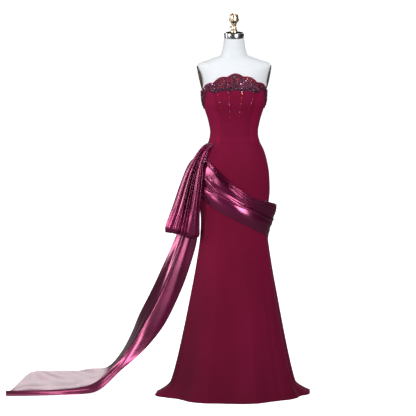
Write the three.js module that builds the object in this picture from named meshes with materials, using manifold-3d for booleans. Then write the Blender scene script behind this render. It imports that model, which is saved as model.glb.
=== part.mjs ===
// A strapless evening gown in crepe, with a beaded neckline and a draped satin sash, on its limbless form.
// Millimetres, +Z up. The origin is on the floor under the middle of the form's base. The gown's front
// faces -Y, its bow hangs at the -X hip, and the sash trails along the floor to -X.
import * as THREE from "three";
import { mergeVertices } from "three/addons/utils/BufferGeometryUtils.js";
import Module from "manifold-3d";

// ---- driving dimensions ----
const crepeWall = 1.5;
const satinWall = 1.5;
const seamGap = 0.3; // between two pieces that meet at a seam
const gownLift = 2.4; // from the form to the outside of the crepe
const waistSeamHeight = 1209;
const hemKick = { reach: 54, height: 78, spread: 15 }; // how the hem flicks out at both side seams
const wing = { reach: 37, angle: 93, spread: 23, startsAt: 0.1, endsAt: 0.72 }; // sash standing off the hip
const beadBand = { underside: 1.6, thickness: 1.7, bump: 0.5, topInset: 1.5 };
const dropStrip = { width: 5, underside: 0.75, thickness: 1.1, bead: 1.5 };
const base = { radius: 148, plate: 12, hubRadius: 27, hubHeight: 70 };
const poleRadius = 16;
const torsoBottom = 850;
const torsoTop = 1697;
const restGap = 0.3; // between two hard pieces that touch
const bust = { fullness: 5, height: 1412, spread: 48, angle: 26, width: 17 };
const backPrincess = 135; // the back's shaping seam, as an angle from centre front
const beadworkEnds = { sideFront: 47, gap: 0.2, zip: 177.2 }; // where its three stretches meet
// The flat side of the form at each armhole, where its plate is fixed.
const armhole = {
  low: 1452,
  high: 1566,
  lowX: 152,
  highX: 176,
  plate: 6,
  halfDepth: 40,
  centreY: 2,
  edge: { depth: 1.2, inset: 1.6 },
};
const flatSide = { from: 1440, to: 1580 }; // heights between which the armholes cut the form's sides flat

// Half widths and depths of the dress form, from the bottom edge to the neck.
const formSections = [
  { z: 850, side: 148, front: 112, back: 128 },
  { z: 905, side: 160, front: 115, back: 135 },
  { z: 975, side: 166, front: 115, back: 137 },
  { z: 1045, side: 163.5, front: 113, back: 129 },
  { z: 1118, side: 151.5, front: 105, back: 109 },
  { z: 1165, side: 137.5, front: 97, back: 92 },
  { z: 1209, side: 117, front: 89, back: 82 },
  { z: 1248, side: 110, front: 85, back: 78 },
  { z: 1308, side: 120, front: 89, back: 85 },
  { z: 1356, side: 135, front: 98, back: 93 },
  { z: 1400, side: 149, front: 109, back: 98 },
  { z: 1445, side: 152, front: 111, back: 101 },
  { z: 1490, side: 157, front: 101, back: 102 },
  { z: 1525, side: 164, front: 91, back: 99 },
  { z: 1550, side: 171, front: 81, back: 92 },
  { z: 1566, side: 175, front: 71, back: 80 },
  { z: 1576, side: 168, front: 64, back: 71 },
  { z: 1590, side: 130, front: 59, back: 64 },
  { z: 1603, side: 94, front: 57, back: 59 },
  { z: 1616, side: 64, front: 56, back: 55 },
  { z: 1650, side: 53.5, front: 50, back: 50 },
  { z: 1697, side: 46.5, front: 46.5, back: 46.5 },
];

// Outside of the skirt below the hip, where it leaves the form.
const skirtSections = [
  { z: 0, side: 316, front: 262, back: 345 },
  { z: 60, side: 297, front: 249, back: 305 },
  { z: 117, side: 282, front: 238, back: 276 },
  { z: 260, side: 249, front: 212, back: 234 },
  { z: 450, side: 209, front: 178, back: 190 },
  { z: 641, side: 175, front: 147, back: 158 },
  { z: 760, side: 159, front: 131, back: 145 },
  { z: 830, side: 156, front: 124, back: 141 },
  { z: 905, side: 162.4, front: 118.5, back: 138 },
];

// Soft folds of the skirt: where each hangs, how wide and deep it is at the hem, and how high it starts.
const skirtFolds = [
  { angle: -62, width: 9, depth: -11, top: 700 },
  { angle: -38, width: 12, depth: 8, top: 620 },
  { angle: -14, width: 10, depth: -6, top: 480 },
  { angle: 8, width: 11, depth: 6, top: 430 },
  { angle: 33, width: 9, depth: -8, top: 690 },
  { angle: 57, width: 11, depth: 9, top: 760 },
  { angle: 74, width: 7, depth: -10, top: 740 },
  { angle: 112, width: 10, depth: -12, top: 720 },
  { angle: 131, width: 11, depth: 12, top: 800 },
  { angle: 152, width: 8, depth: -13, top: 760 },
  { angle: 171, width: 10, depth: 12, top: 820 },
  { angle: 193, width: 9, depth: -12, top: 790 },
  { angle: 214, width: 12, depth: 11, top: 740 },
  { angle: 237, width: 9, depth: -12, top: 700 },
  { angle: 254, width: 9, depth: 9, top: 640 },
];

// Neckline: each scallop ends at this angle from centre front, in a dip at this height.
const necklineScallops = [
  { to: 13, dip: 1526, rise: 16 },
  { to: 39.4, dip: 1497, rise: 11 },
  { to: 75, dip: 1452, rise: 12 },
  { to: 105, dip: 1429, rise: 9 },
  { to: 135, dip: 1412, rise: 7 },
  { to: 160, dip: 1404, rise: 5 },
  { to: 180, dip: 1402, rise: 3 },
];

const columnsOf = { front: 20, side: 6, back: 6, skirtFront: 22, skirtBack: 11, beadBand: 20 };
const beadBandRows = 4;
const beadDropSteps = 12;

// Lower edge of the beadwork, by angle from centre front.
const beadworkEdge = [
  { angle: 0, z: 1467 },
  { angle: 25, z: 1462 },
  { angle: 44, z: 1451 },
  { angle: 52, z: 1462 },
  { angle: 61, z: 1448 },
  { angle: 70, z: 1405 },
  { angle: 82, z: 1366 },
  { angle: 98, z: 1362 },
  { angle: 118, z: 1380 },
  { angle: 145, z: 1374 },
  { angle: 180, z: 1368 },
];

// Princess seam, by height, as an angle from centre front.
const princessSeam = [
  { z: 1209, angle: 36 },
  { z: 1248, angle: 37.4 },
  { z: 1320, angle: 36.4 },
  { z: 1393, angle: 38 },
  { z: 1449, angle: 43.8 },
  { z: 1500, angle: 48.6 },
];

// Lines of beads that run down from the beadwork on the centre front.
const beadDrops = [
  { topAngle: -32, topZ: 1456, bottomAngle: -25.7, bottomZ: 1364 },
  { topAngle: -11.8, topZ: 1458, bottomAngle: -10.8, bottomZ: 1326 },
  { topAngle: 10.8, topZ: 1457, bottomAngle: 6.8, bottomZ: 1326 },
  { topAngle: 33, topZ: 1450, bottomAngle: 24.2, bottomZ: 1368 },
];

// The sash round the hips: heights of the upper edge, the lowest pleat, the band's fold and the lower edge.
const sashLines = [
  { angle: -84, upper: 1192, pleats: 1126, band: 1024, lower: 952 },
  { angle: -66, upper: 1176, pleats: 1119, band: 1013, lower: 941 },
  { angle: -50, upper: 1126, pleats: 1094, band: 999, lower: 923 },
  { angle: -35, upper: 1098, pleats: 1062, band: 984, lower: 898 },
  { angle: -20, upper: 1063, pleats: 1016, band: 962, lower: 876 },
  { angle: -5, upper: 1024, pleats: 975, band: 941, lower: 856 },
  { angle: 10, upper: 989, pleats: 940, band: 919, lower: 835 },
  { angle: 25, upper: 962, pleats: 909, band: 904, lower: 814 },
  { angle: 45, upper: 940, pleats: 879, band: 875, lower: 788 },
  { angle: 65, upper: 927, pleats: 858, band: 853, lower: 766 },
  { angle: 90, upper: 903, pleats: 842, band: 837, lower: 748 },
  { angle: 112, upper: 906, pleats: 848, band: 843, lower: 752 },
  { angle: 135, upper: 934, pleats: 880, band: 875, lower: 782 },
  { angle: 180, upper: 1010, pleats: 958, band: 953, lower: 860 },
  { angle: 225, upper: 1092, pleats: 1038, band: 1033, lower: 944 },
  { angle: 258, upper: 1142, pleats: 1088, band: 1083, lower: 1006 },
];
const sashPleats = 5;
const sashColumns = 32;
const panelColumns = 10; // of the sash's columns, under the smooth middle panel
const pleatRelief = { trough: 3.4, slope: 2.2, height: 3.6 };
const bandRelief = { fold: 10, belly: 5, edge: 3.2 };
const panelRelief = {
  edge: 2.9,
  belly: 7,
  fullAt: -60, // the belly is full at this angle and gone at the next
  flatAt: 10,
  narrowsFrom: -5,
  tuck: { top: 4, bottom: 8, end: 3 }, // how far it runs under the pleats and the band
};

// Front of the bow, from the waist down: its left and right edges and how far forward each lies.
const bowFront = [
  { z: 1203, left: -107, right: -95, leftY: -50, rightY: -60 },
  { z: 1196, left: -141, right: -107, leftY: -40, rightY: -62 },
  { z: 1173, left: -165, right: -128, leftY: -36, rightY: -66 },
  { z: 1127, left: -199, right: -146, leftY: -34, rightY: -70 },
  { z: 1076, left: -229, right: -150, leftY: -31, rightY: -76 },
  { z: 1013, left: -254, right: -151, leftY: -29, rightY: -80 },
  { z: 945, left: -275, right: -158, leftY: -27, rightY: -77 },
  { z: 878, left: -297, right: -162, leftY: -26, rightY: -70 },
  { z: 806, left: -325, right: -161, leftY: -24, rightY: -66 },
];
// Back of the bow, from the bottom fold up to the side seam.
const bowBack = [
  { z: 815, left: -320, right: -178, y: 12 },
  { z: 900, left: -288, right: -180, y: 13 },
  { z: 1000, left: -254, right: -184, y: 13 },
  { z: 1100, left: -212, right: -180, y: 11 },
  { z: 1158, left: -176, right: -158, y: 9 },
];
const bowBottom = [
  { across: 0, z: 778 },
  { across: 0.3, z: 772 },
  { across: 0.52, z: 762 },
  { across: 0.78, z: 749 },
  { across: 1, z: 757 },
];
// Pleats of the bow, from its outer edge to the hip: where each lies, its width and its relief at the bottom.
const bowPleats = [
  { across: 0.06, width: 0.05, depth: 5 },
  { across: 0.2, width: 0.055, depth: 8 },
  { across: 0.37, width: 0.035, depth: -13 },
  { across: 0.47, width: 0.04, depth: 8 },
  { across: 0.58, width: 0.045, depth: -7 },
  { across: 0.69, width: 0.05, depth: 6 },
  { across: 0.82, width: 0.05, depth: -8 },
  { across: 0.95, width: 0.04, depth: 7 },
];
const bowPuff = 15;
const bowSeat = 2.4; // from the gown to the top of the bow

// The trailing end of the sash: its lengthwise fold, its far edge and its near edge at each station.
const trainStations = [
  { fold: [-186, 34, 1078], far: [-184, 54, 1074], near: [-181, 20, 1082], drop: 1 },
  { fold: [-200, 35, 945], far: [-202, 62, 940], near: [-184, 22, 950], drop: 1 },
  { fold: [-221, 35, 842], far: [-238, 66, 835], near: [-180, 26, 850], drop: 1 },
  { fold: [-240, 34, 748], far: [-275, 72, 745], near: [-175, 27, 741], drop: 1 },
  { fold: [-299, 38, 588], far: [-342, 122, 583], near: [-219, 23, 588], drop: 1 },
  { fold: [-346, 44, 468], far: [-385, 172, 470], near: [-262, 21, 469], drop: 1 },
  { fold: [-410, 53, 342], far: [-431, 255, 342], near: [-321, 21, 342], drop: 1.2 },
  { fold: [-466, 62, 250], far: [-462, 335, 240], near: [-374, 26, 254], drop: 1.5 },
  { fold: [-530, 69, 165], far: [-505, 440, 128], near: [-447, 30, 187], drop: 2.2 },
  { fold: [-590, 75, 95], far: [-562, 540, 40], near: [-536, 31, 110], drop: 4 },
  { fold: [-650, 76, 44], far: [-640, 600, 14], near: [-632, 34, 20], drop: 9 },
  { fold: [-722, 62, 27], far: [-725, 618, 3], near: [-718, 36, 1.2], drop: 20 },
  { fold: [-841, 42, 24], far: [-826, 620, 1.2], near: [-841, 18, 1.2], drop: 26 },
  { fold: [-963, 34, 22], far: [-890, 620, 1.2], near: [-963, 11, 1.2], drop: 26 },
  { fold: [-1076, 36, 22], far: [-928, 618, 1.2], near: [-1076, 13, 1.2], drop: 26 },
];
const trainTop = { z: 1180, far: -110, near: -95, seat: 1.9 }; // where it is sewn on, as angles round the waist
const trainAcrossFar = [1, 0.8, 0.58, 0.36, 0.18, 0.08, 0.03, 0]; // from the far edge to the fold
const trainAcrossNear = [0.34, 0.67, 1]; // from the fold to the near edge
const trainSag = 5; // of its near half, between the fold and the edge
const floorGap = 0.1;

// Zip at centre back.
const zip = { top: 1385, bottom: 1016, width: 5, height: 1.3, lift: 1.1 };
const slider = { width: 9, height: 12, thickness: 3.4 };
const lug = { width: 1.6, apart: 5.2, halfHeight: 2, cover: 0.6, pinRadius: 0.9, fromTop: 3 };
const pullTab = { eyeRadius: 2.5, holeRadius: 1.25, length: 24, thickness: 1.6, width: 4.4 };

// ---- the form's hard parts, as rows from the axis out and back ----
const neckCap = [
  { r: 0, z: torsoTop + restGap },
  { r: 45.5, z: torsoTop + restGap },
  { r: 46, z: 1718 },
  { r: 44.5, z: 1722 },
  { r: 41, z: 1722 },
  { r: 39, z: 1716 },
  { r: 13, z: 1715 },
  { r: 12, z: 1721 },
  { r: 0, z: 1721 },
];
const finial = [
  { r: 0, z: 1721 + restGap },
  { r: 15.7, z: 1721 + restGap },
  { r: 16.2, z: 1729 },
  { r: 13, z: 1736 },
  { r: 10.2, z: 1744 },
  { r: 9.9, z: 1755 },
  { r: 12, z: 1763 },
  { r: 17, z: 1771 },
  { r: 23.2, z: 1779 },
  { r: 24, z: 1783 },
  { r: 21.5, z: 1787 },
  { r: 19.2, z: 1792 },
  { r: 19, z: 1801 },
  { r: 16.5, z: 1809 },
  { r: 9, z: 1813 },
  { r: 0, z: 1813.6 },
];
const baseProfile = [
  { r: 0, z: 0 },
  { r: base.radius, z: 0 },
  { r: base.radius, z: base.plate * 0.6 },
  { r: base.radius - 8, z: base.plate },
  { r: base.hubRadius + 12, z: base.plate + 4 },
  { r: base.hubRadius, z: base.plate + 16 },
  { r: base.hubRadius, z: base.hubHeight },
  { r: 0, z: base.hubHeight },
];
const poleProfile = [
  { r: 0, z: base.hubHeight + restGap },
  { r: poleRadius, z: base.hubHeight + restGap },
  { r: poleRadius, z: torsoBottom - restGap },
  { r: 0, z: torsoBottom - restGap },
];
const neckScrew = { radius: 3.2, length: 10, z: 1749, start: 10.5 };

// ---- materials ----
const paint = (color, roughness, metalness = 0) =>
  new THREE.MeshStandardMaterial({ color, roughness, metalness });
const crepe = paint("#7b1437", 0.75);
const satin = paint("#8a1f55", 0.32);
const beadwork = paint("#46142f", 0.4);
const beadRed = paint("#a8202a", 0.3);
const formCover = paint("#e9edf0", 0.85);
const darkWood = paint("#3a261b", 0.6);
const steel = paint("#8d8f93", 0.35, 0.9);
const brass = paint("#c9a877", 0.3, 0.9);
const zipMetal = paint("#7a3048", 0.4, 0.6);

// ---- curves through tables ----
// A smooth curve through the rows that never overshoots between two of them.
function curveOf(rows, along, key) {
  const at = rows.map((row) => row[along]);
  const value = rows.map((row) => row[key]);
  const last = rows.length - 1;
  const slope = at.slice(1).map((a, i) => (value[i + 1] - value[i]) / (a - at[i]));
  const tangent = at.map((_, i) => {
    if (i === 0) return slope[0];
    if (i === last) return slope[last - 1];
    const [before, after] = [slope[i - 1], slope[i]];
    return before * after <= 0 ? 0 : (2 * before * after) / (before + after);
  });
  return (x) => {
    const inside = Math.min(Math.max(x, at[0]), at[last]);
    let i = 0;
    while (i < last - 1 && inside > at[i + 1]) i += 1;
    const h = at[i + 1] - at[i];
    const t = (inside - at[i]) / h;
    const rise = t * t * (3 - 2 * t);
    return (
      value[i] * (1 - rise) +
      value[i + 1] * rise +
      h * (t * (1 - t) * (1 - t) * tangent[i] - t * t * (1 - t) * tangent[i + 1])
    );
  };
}

const radians = (degrees) => (degrees * Math.PI) / 180;
const mix = (a, b, t) => a + (b - a) * t;
const bell = (x) => Math.exp(-x * x);
const evenly = (count, from = 0, to = 1) =>
  Array.from({ length: count + 1 }, (_, i) => mix(from, to, i / count));

function smoothStep(from, to, x) {
  const t = Math.min(Math.max((x - from) / (to - from), 0), 1);
  return t * t * (3 - 2 * t);
}

// The difference between two angles, from -180 to 180.
function turn(a, b) {
  return ((((a - b) % 360) + 540) % 360) - 180;
}

// ---- closed solids from grids of points ----
function solidGeometry(points, triangles) {
  let volume = 0;
  const cross = new THREE.Vector3();
  for (const [a, b, c] of triangles) volume += points[a].dot(cross.crossVectors(points[b], points[c]));
  const faces = volume < 0 ? triangles.map(([a, b, c]) => [a, c, b]) : triangles;
  const geometry = new THREE.BufferGeometry();
  geometry.setAttribute("position", new THREE.Float32BufferAttribute(points.flatMap((p) => p.toArray()), 3));
  geometry.setIndex(faces.flat());
  geometry.computeVertexNormals();
  return geometry;
}

// A wall between two grids of the same size: outside[row][column] and inside[row][column].
function wallGeometry(outside, inside) {
  const rows = outside.length;
  const columns = outside[0].length;
  const points = [...outside.flat(), ...inside.flat()];
  const outer = (r, c) => r * columns + c;
  const inner = (r, c) => rows * columns + r * columns + c;
  const triangles = [];
  const quad = (a, b, c, d) => triangles.push([a, b, c], [a, c, d]);
  for (let r = 0; r < rows - 1; r += 1) {
    for (let c = 0; c < columns - 1; c += 1) {
      quad(outer(r, c), outer(r, c + 1), outer(r + 1, c + 1), outer(r + 1, c));
      quad(inner(r, c), inner(r + 1, c), inner(r + 1, c + 1), inner(r, c + 1));
    }
    quad(outer(r, 0), outer(r + 1, 0), inner(r + 1, 0), inner(r, 0));
    quad(outer(r + 1, columns - 1), outer(r, columns - 1), inner(r, columns - 1), inner(r + 1, columns - 1));
  }
  for (let c = 0; c < columns - 1; c += 1) {
    quad(outer(0, c + 1), outer(0, c), inner(0, c), inner(0, c + 1));
    quad(outer(rows - 1, c), outer(rows - 1, c + 1), inner(rows - 1, c + 1), inner(rows - 1, c));
  }
  return solidGeometry(points, triangles);
}

// A wall of even thickness about a grid of middle points, for cloth that hangs free.
function sheetGeometry(middle, thickness) {
  const rows = middle.length;
  const columns = middle[0].length;
  const side = (direction) =>
    middle.map((row, r) =>
      row.map((point, c) => {
        const along = middle[Math.min(r + 1, rows - 1)][c].clone().sub(middle[Math.max(r - 1, 0)][c]);
        const across = row[Math.min(c + 1, columns - 1)].clone().sub(row[Math.max(c - 1, 0)]);
        const normal = along.cross(across).normalize();
        return point.clone().addScaledVector(normal, (direction * thickness) / 2);
      }),
    );
  return wallGeometry(side(1), side(-1));
}

// A solid through closed rings of points, capped at both ends.
function ringGeometry(rings) {
  const columns = rings[0].length;
  const points = rings.flat();
  const triangles = [];
  for (let r = 0; r < rings.length - 1; r += 1) {
    for (let c = 0; c < columns; c += 1) {
      const next = (c + 1) % columns;
      const [a, b] = [r * columns + c, r * columns + next];
      triangles.push([a, b, b + columns], [a, b + columns, a + columns]);
    }
  }
  for (const [ring, flip] of [[0, true], [rings.length - 1, false]]) {
    const centre = points.length;
    points.push(rings[ring].reduce((sum, p) => sum.add(p), new THREE.Vector3()).divideScalar(columns));
    for (let c = 0; c < columns; c += 1) {
      const [a, b] = [ring * columns + c, ring * columns + ((c + 1) % columns)];
      triangles.push(flip ? [centre, b, a] : [centre, a, b]);
    }
  }
  return solidGeometry(points, triangles);
}

// A turned solid about the Z axis, from rows of { r, z } that run upwards from axis to axis.
function turnedGeometry(profile, segments) {
  const outline = profile.map(({ r, z }) => new THREE.Vector2(r, z));
  return new THREE.LatheGeometry(outline, segments).rotateX(Math.PI / 2);
}

// Several closed solids joined into one.
const wasm = await Module();
wasm.setup();

function joinedGeometry(geometries) {
  const solids = geometries.map((geometry) => {
    const bare = geometry.clone().deleteAttribute("normal").deleteAttribute("uv");
    const merged = mergeVertices(bare);
    const vertProperties = merged.attributes.position.array;
    const triVerts = new Uint32Array(merged.index.array);
    return new wasm.Manifold(new wasm.Mesh({ numProp: 3, vertProperties, triVerts }));
  });
  const { numProp, vertProperties, triVerts } = solids.reduce((sum, solid) => sum.add(solid)).getMesh();
  const geometry = new THREE.BufferGeometry();
  geometry.setAttribute("position", new THREE.BufferAttribute(vertProperties, numProp));
  geometry.setIndex(new THREE.BufferAttribute(triVerts, 1));
  geometry.computeVertexNormals();
  return geometry;
}

// ---- the figure that the form and the gown share ----
const formSide = curveOf(formSections, "z", "side");
const formFront = curveOf(formSections, "z", "front");
const formBack = curveOf(formSections, "z", "back");

const gownSections = [
  ...skirtSections,
  ...formSections
    .filter(({ z }) => z > skirtSections.at(-1).z)
    .map(({ z, side, front, back }) => ({
      z,
      side: side + gownLift,
      front: front + gownLift,
      back: back + gownLift,
    })),
];
const gownSide = curveOf(gownSections, "z", "side");
const gownFront = curveOf(gownSections, "z", "front");
const gownBack = curveOf(gownSections, "z", "back");

// The two sides of a fitted bust, a little fuller than the oval between them.
function bustFullness(z, angle) {
  const lobe = bell(turn(angle, bust.angle) / bust.width) + bell(turn(angle, -bust.angle) / bust.width);
  return bust.fullness * bell((z - bust.height) / bust.spread) * lobe;
}

function ovalPoint(z, angle, side, depth, lift) {
  const a = radians(angle);
  const x = side * Math.sin(a);
  const y = -depth * Math.cos(a);
  const normal = new THREE.Vector2(x / side ** 2, y / depth ** 2).normalize();
  return new THREE.Vector3(x + lift * normal.x, y + lift * normal.y, z);
}

function formPoint(z, angle) {
  const depth = Math.cos(radians(angle)) > 0 ? formFront(z) : formBack(z);
  return ovalPoint(z, angle, formSide(z), depth, bustFullness(z, angle));
}

function foldDepth(z, angle) {
  const folds = skirtFolds.map((fold) => {
    const grown = Math.max(0, 1 - z / fold.top) ** 1.4;
    return fold.depth * grown * bell(turn(angle, fold.angle) / fold.width);
  });
  const kick = Math.max(0, 1 - z / hemKick.height) ** 1.6;
  const sides = bell(turn(angle, 90) / hemKick.spread) + bell(turn(angle, -90) / hemKick.spread);
  return folds.reduce((sum, depth) => sum + depth, 0) + hemKick.reach * kick * sides;
}

// A point at the gown's outside, moved out by lift.
function gownPoint(z, angle, lift = 0) {
  const depth = Math.cos(radians(angle)) > 0 ? gownFront(z) : gownBack(z);
  return ovalPoint(z, angle, gownSide(z), depth, lift + foldDepth(z, angle) + bustFullness(z, angle));
}

// The angle that lies a given distance round the gown from another.
function besideSeam(z, angle, distance) {
  const depth = Math.cos(radians(angle)) > 0 ? gownFront(z) : gownBack(z);
  const speed = Math.hypot(gownSide(z) * Math.cos(radians(angle)), depth * Math.sin(radians(angle)));
  return angle + (distance / speed) * (180 / Math.PI);
}

function necklineHeight(angle) {
  const away = Math.abs(turn(angle, 0));
  const i = necklineScallops.findIndex(({ to }) => away <= to + 1e-9);
  const { to, dip, rise } = necklineScallops[i];
  const from = i === 0 ? -to : necklineScallops[i - 1].to;
  const start = i === 0 ? dip : necklineScallops[i - 1].dip;
  const t = (away - from) / (to - from);
  return mix(start, dip, t) + rise * Math.sin(Math.PI * t);
}

// A panel of the gown: columns run between two seams, and each row gives its height at an angle.
function gownPanel(columns, rowHeights, seamFrom, seamTo) {
  const side = (lift) =>
    rowHeights.map((height) =>
      columns.map((u) => {
        const roughAngle = mix(seamFrom(waistSeamHeight), seamTo(waistSeamHeight), u);
        const z = height(roughAngle);
        const from = besideSeam(z, seamFrom(z), seamGap / 2);
        const to = besideSeam(z, seamTo(z), -seamGap / 2);
        const angle = mix(from, to, u);
        return gownPoint(height(angle), angle, lift);
      }),
    );
  return wallGeometry(side(0), side(-crepeWall));
}

const atHeights = (heights) => heights.map((z) => () => z);
const upToNeckline = (from, steps) =>
  evenly(steps).slice(1).map((t) => (angle) => mix(from, necklineHeight(angle), t));

// ---- skirt ----
const skirtLevels = [0, 30, 72, 150, 290, 450, 600, 710, 780, 850, 905, 975, 1045, 1088, 1118, 1142, 1165, 1188];
const skirtHeights = [...skirtLevels, waistSeamHeight - seamGap / 2];
const seamAt = (angle) => () => angle;

function skirtPieces() {
  const rows = atHeights(skirtHeights);
  return [
    ["skirt_front", gownPanel(evenly(columnsOf.skirtFront), rows, seamAt(-90), seamAt(90)), crepe],
    ["skirt_back_right", gownPanel(evenly(columnsOf.skirtBack), rows, seamAt(90), seamAt(180)), crepe],
    ["skirt_back_left", gownPanel(evenly(columnsOf.skirtBack), rows, seamAt(180), seamAt(270)), crepe],
  ];
}

// ---- bodice ----
const princessAngle = curveOf(princessSeam, "z", "angle");
const bodiceLevels = [waistSeamHeight + seamGap / 2, 1248, 1278, 1308, 1332, 1356, 1378];

function bodicePieces() {
  const front = [...atHeights([...bodiceLevels, 1400, 1422, 1445]), ...upToNeckline(1445, 3)];
  const side = [...atHeights([...bodiceLevels, 1400, 1422]), ...upToNeckline(1422, 3)];
  const back = [...atHeights([...bodiceLevels, 1400]), ...upToNeckline(1400, 2)];
  const left = (z) => -princessAngle(z);
  return [
    ["bodice_centre_front", gownPanel(evenly(columnsOf.front), front, left, princessAngle), crepe],
    ["bodice_side_front_right", gownPanel(evenly(columnsOf.side), side, princessAngle, seamAt(90)), crepe],
    ["bodice_side_front_left", gownPanel(evenly(columnsOf.side), side, seamAt(-90), left), crepe],
    ["bodice_side_back_right", gownPanel(evenly(columnsOf.back), back, seamAt(90), seamAt(backPrincess)), crepe],
    ["bodice_side_back_left", gownPanel(evenly(columnsOf.back), back, seamAt(-backPrincess), seamAt(-90)), crepe],
    ["bodice_back_right", gownPanel(evenly(columnsOf.back), back, seamAt(backPrincess), seamAt(180)), crepe],
    ["bodice_back_left", gownPanel(evenly(columnsOf.back), back, seamAt(-180), seamAt(-backPrincess)), crepe],
  ];
}

// ---- beadwork ----
const beadworkLow = curveOf(beadworkEdge, "angle", "z");

// A thick beaded applique laid over the bodice between two angles, its outside raised in a diamond grid.
function beadBandGeometry(from, to) {
  const grid = (lift, bump) =>
    evenly(beadBandRows).map((v, r) =>
      evenly(columnsOf.beadBand, from, to).map((angle, c) => {
        const low = beadworkLow(Math.abs(turn(angle, 0)));
        const z = mix(low, necklineHeight(angle) - beadBand.topInset, v);
        return gownPoint(z, angle, lift + ((r + c) % 2 ? bump : -bump));
      }),
    );
  return wallGeometry(grid(beadBand.underside + beadBand.thickness, beadBand.bump), grid(beadBand.underside, 0));
}

function beadDropGeometry({ topAngle, topZ, bottomAngle, bottomZ }) {
  const grid = (lift, bead) =>
    evenly(beadDropSteps).map((t, r) =>
      [-1, 0, 1].map((across) => {
        const z = mix(bottomZ, topZ, t);
        const middle = mix(bottomAngle, topAngle, t);
        const raised = across === 0 && r % 2 ? bead : 0;
        return gownPoint(z, besideSeam(z, middle, (across * dropStrip.width) / 2), lift + raised);
      }),
    );
  return wallGeometry(grid(dropStrip.underside + dropStrip.thickness, dropStrip.bead), grid(dropStrip.underside, 0));
}

function beadworkPieces() {
  const { sideFront, gap, zip: besideZip } = beadworkEnds;
  return [
    ["beaded_band_front", beadBandGeometry(-sideFront, sideFront), beadwork],
    ["beaded_band_right", beadBandGeometry(sideFront + gap, besideZip), beadwork],
    ["beaded_band_left", beadBandGeometry(-besideZip, -sideFront - gap), beadwork],
    ...beadDrops.map((drop, i) => [`bead_drop_${i + 1}`, beadDropGeometry(drop), beadRed]),
  ];
}

// ---- sash round the hips ----
const sashUpper = curveOf(sashLines, "angle", "upper");
const sashPleatEdge = curveOf(sashLines, "angle", "pleats");
const sashBand = curveOf(sashLines, "angle", "band");
const sashLower = curveOf(sashLines, "angle", "lower");

// A point of the sash, which stands off the gown at the right hip.
function sashPoint(z, angle, lift) {
  const down = (sashUpper(angle) - z) / (sashUpper(angle) - sashLower(angle));
  const height = 1 - smoothStep(wing.startsAt, wing.endsAt, down);
  return gownPoint(z, angle, lift + wing.reach * height * bell((angle - wing.angle) / wing.spread));
}

function sashGeometry(angles, topEdge, bottomEdge, steps, relief) {
  const grid = (inward) =>
    evenly(steps).map((t) =>
      angles.map((angle) => sashPoint(mix(topEdge(angle), bottomEdge(angle), t), angle, relief(t, angle) - inward)),
    );
  return wallGeometry(grid(0), grid(satinWall));
}

function sashPieces() {
  const [start, end] = [sashLines[0].angle, sashLines.at(-1).angle];
  const round = evenly(sashColumns, start, end);
  const panelAngles = round.slice(0, panelColumns + 1);
  const panelEnd = panelAngles.at(-1); // the smooth panel narrows to nothing here
  const pleatLift = (t) => {
    const ridge = (1 - Math.cos(2 * Math.PI * sashPleats * t)) / 2;
    return pleatRelief.trough + pleatRelief.slope * t + pleatRelief.height * ridge;
  };
  const bandLift = (t) =>
    mix(bandRelief.fold, bandRelief.edge, smoothStep(0, 1, t)) + bandRelief.belly * Math.sin(Math.PI * t);
  const { edge, belly, flatAt, fullAt, tuck, narrowsFrom } = panelRelief;
  const panelLift = (t, angle) => edge + belly * Math.sin(Math.PI * t) ** 2 * smoothStep(flatAt, fullAt, angle);
  const underPleats = (angle) => sashPleatEdge(angle) + tuck.top;
  const underBand = (angle) =>
    mix(sashBand(angle) - tuck.bottom, sashPleatEdge(angle) - tuck.end, smoothStep(narrowsFrom, panelEnd, angle));
  return [
    ["sash_upper_pleats", sashGeometry(round, sashUpper, sashPleatEdge, 2 * sashPleats, pleatLift), satin],
    ["sash_middle_panel", sashGeometry(panelAngles, underPleats, underBand, 4, panelLift), satin],
    ["sash_lower_band", sashGeometry(round, sashBand, sashLower, 5, bandLift), satin],
  ];
}

// ---- bow at the left hip ----
const bowBottomHeight = curveOf(bowBottom, "across", "z");

function bowRelief(u, grown) {
  const pleats = bowPleats.map(({ across, width, depth }) => depth * bell((u - across) / width));
  return pleats.reduce((sum, depth) => sum + depth, 0) * grown;
}

// How far forward the gown's outside lies at a given x.
function gownForward(x, z) {
  const across = Math.min(Math.abs(x) / gownSide(z), 1);
  return gownFront(z) * Math.sqrt(1 - across * across);
}

function bowFrontPoint(u, f) {
  const down = f * (bowFront.length - 1);
  const i = Math.min(Math.floor(down), bowFront.length - 2);
  const row = (key) => mix(bowFront[i][key], bowFront[i + 1][key], down - i);
  const x = mix(row("left"), row("right"), u);
  const hanging = smoothStep(0, 0.25, f);
  const puff = bowPuff * Math.sin(Math.PI * u) * f + bowRelief(u, f);
  const free = mix(row("leftY"), row("rightY"), u) - puff;
  const seated = -gownForward(x, row("z")) - bowSeat;
  const z = row("z") + (bowBottomHeight(u) - bowBottomHeight(0)) * f * f;
  return new THREE.Vector3(x, mix(seated, free, hanging), z);
}

function bowBackPoint(u, f) {
  const up = f * (bowBack.length - 1);
  const i = Math.min(Math.floor(up), bowBack.length - 2);
  const row = (key) => mix(bowBack[i][key], bowBack[i + 1][key], up - i);
  const z = row("z") + (bowBottomHeight(u) - bowBottomHeight(0)) * (1 - f) ** 2;
  return new THREE.Vector3(mix(row("left"), row("right"), u), row("y") - 0.3 * bowRelief(u, 1 - f), z);
}

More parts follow.
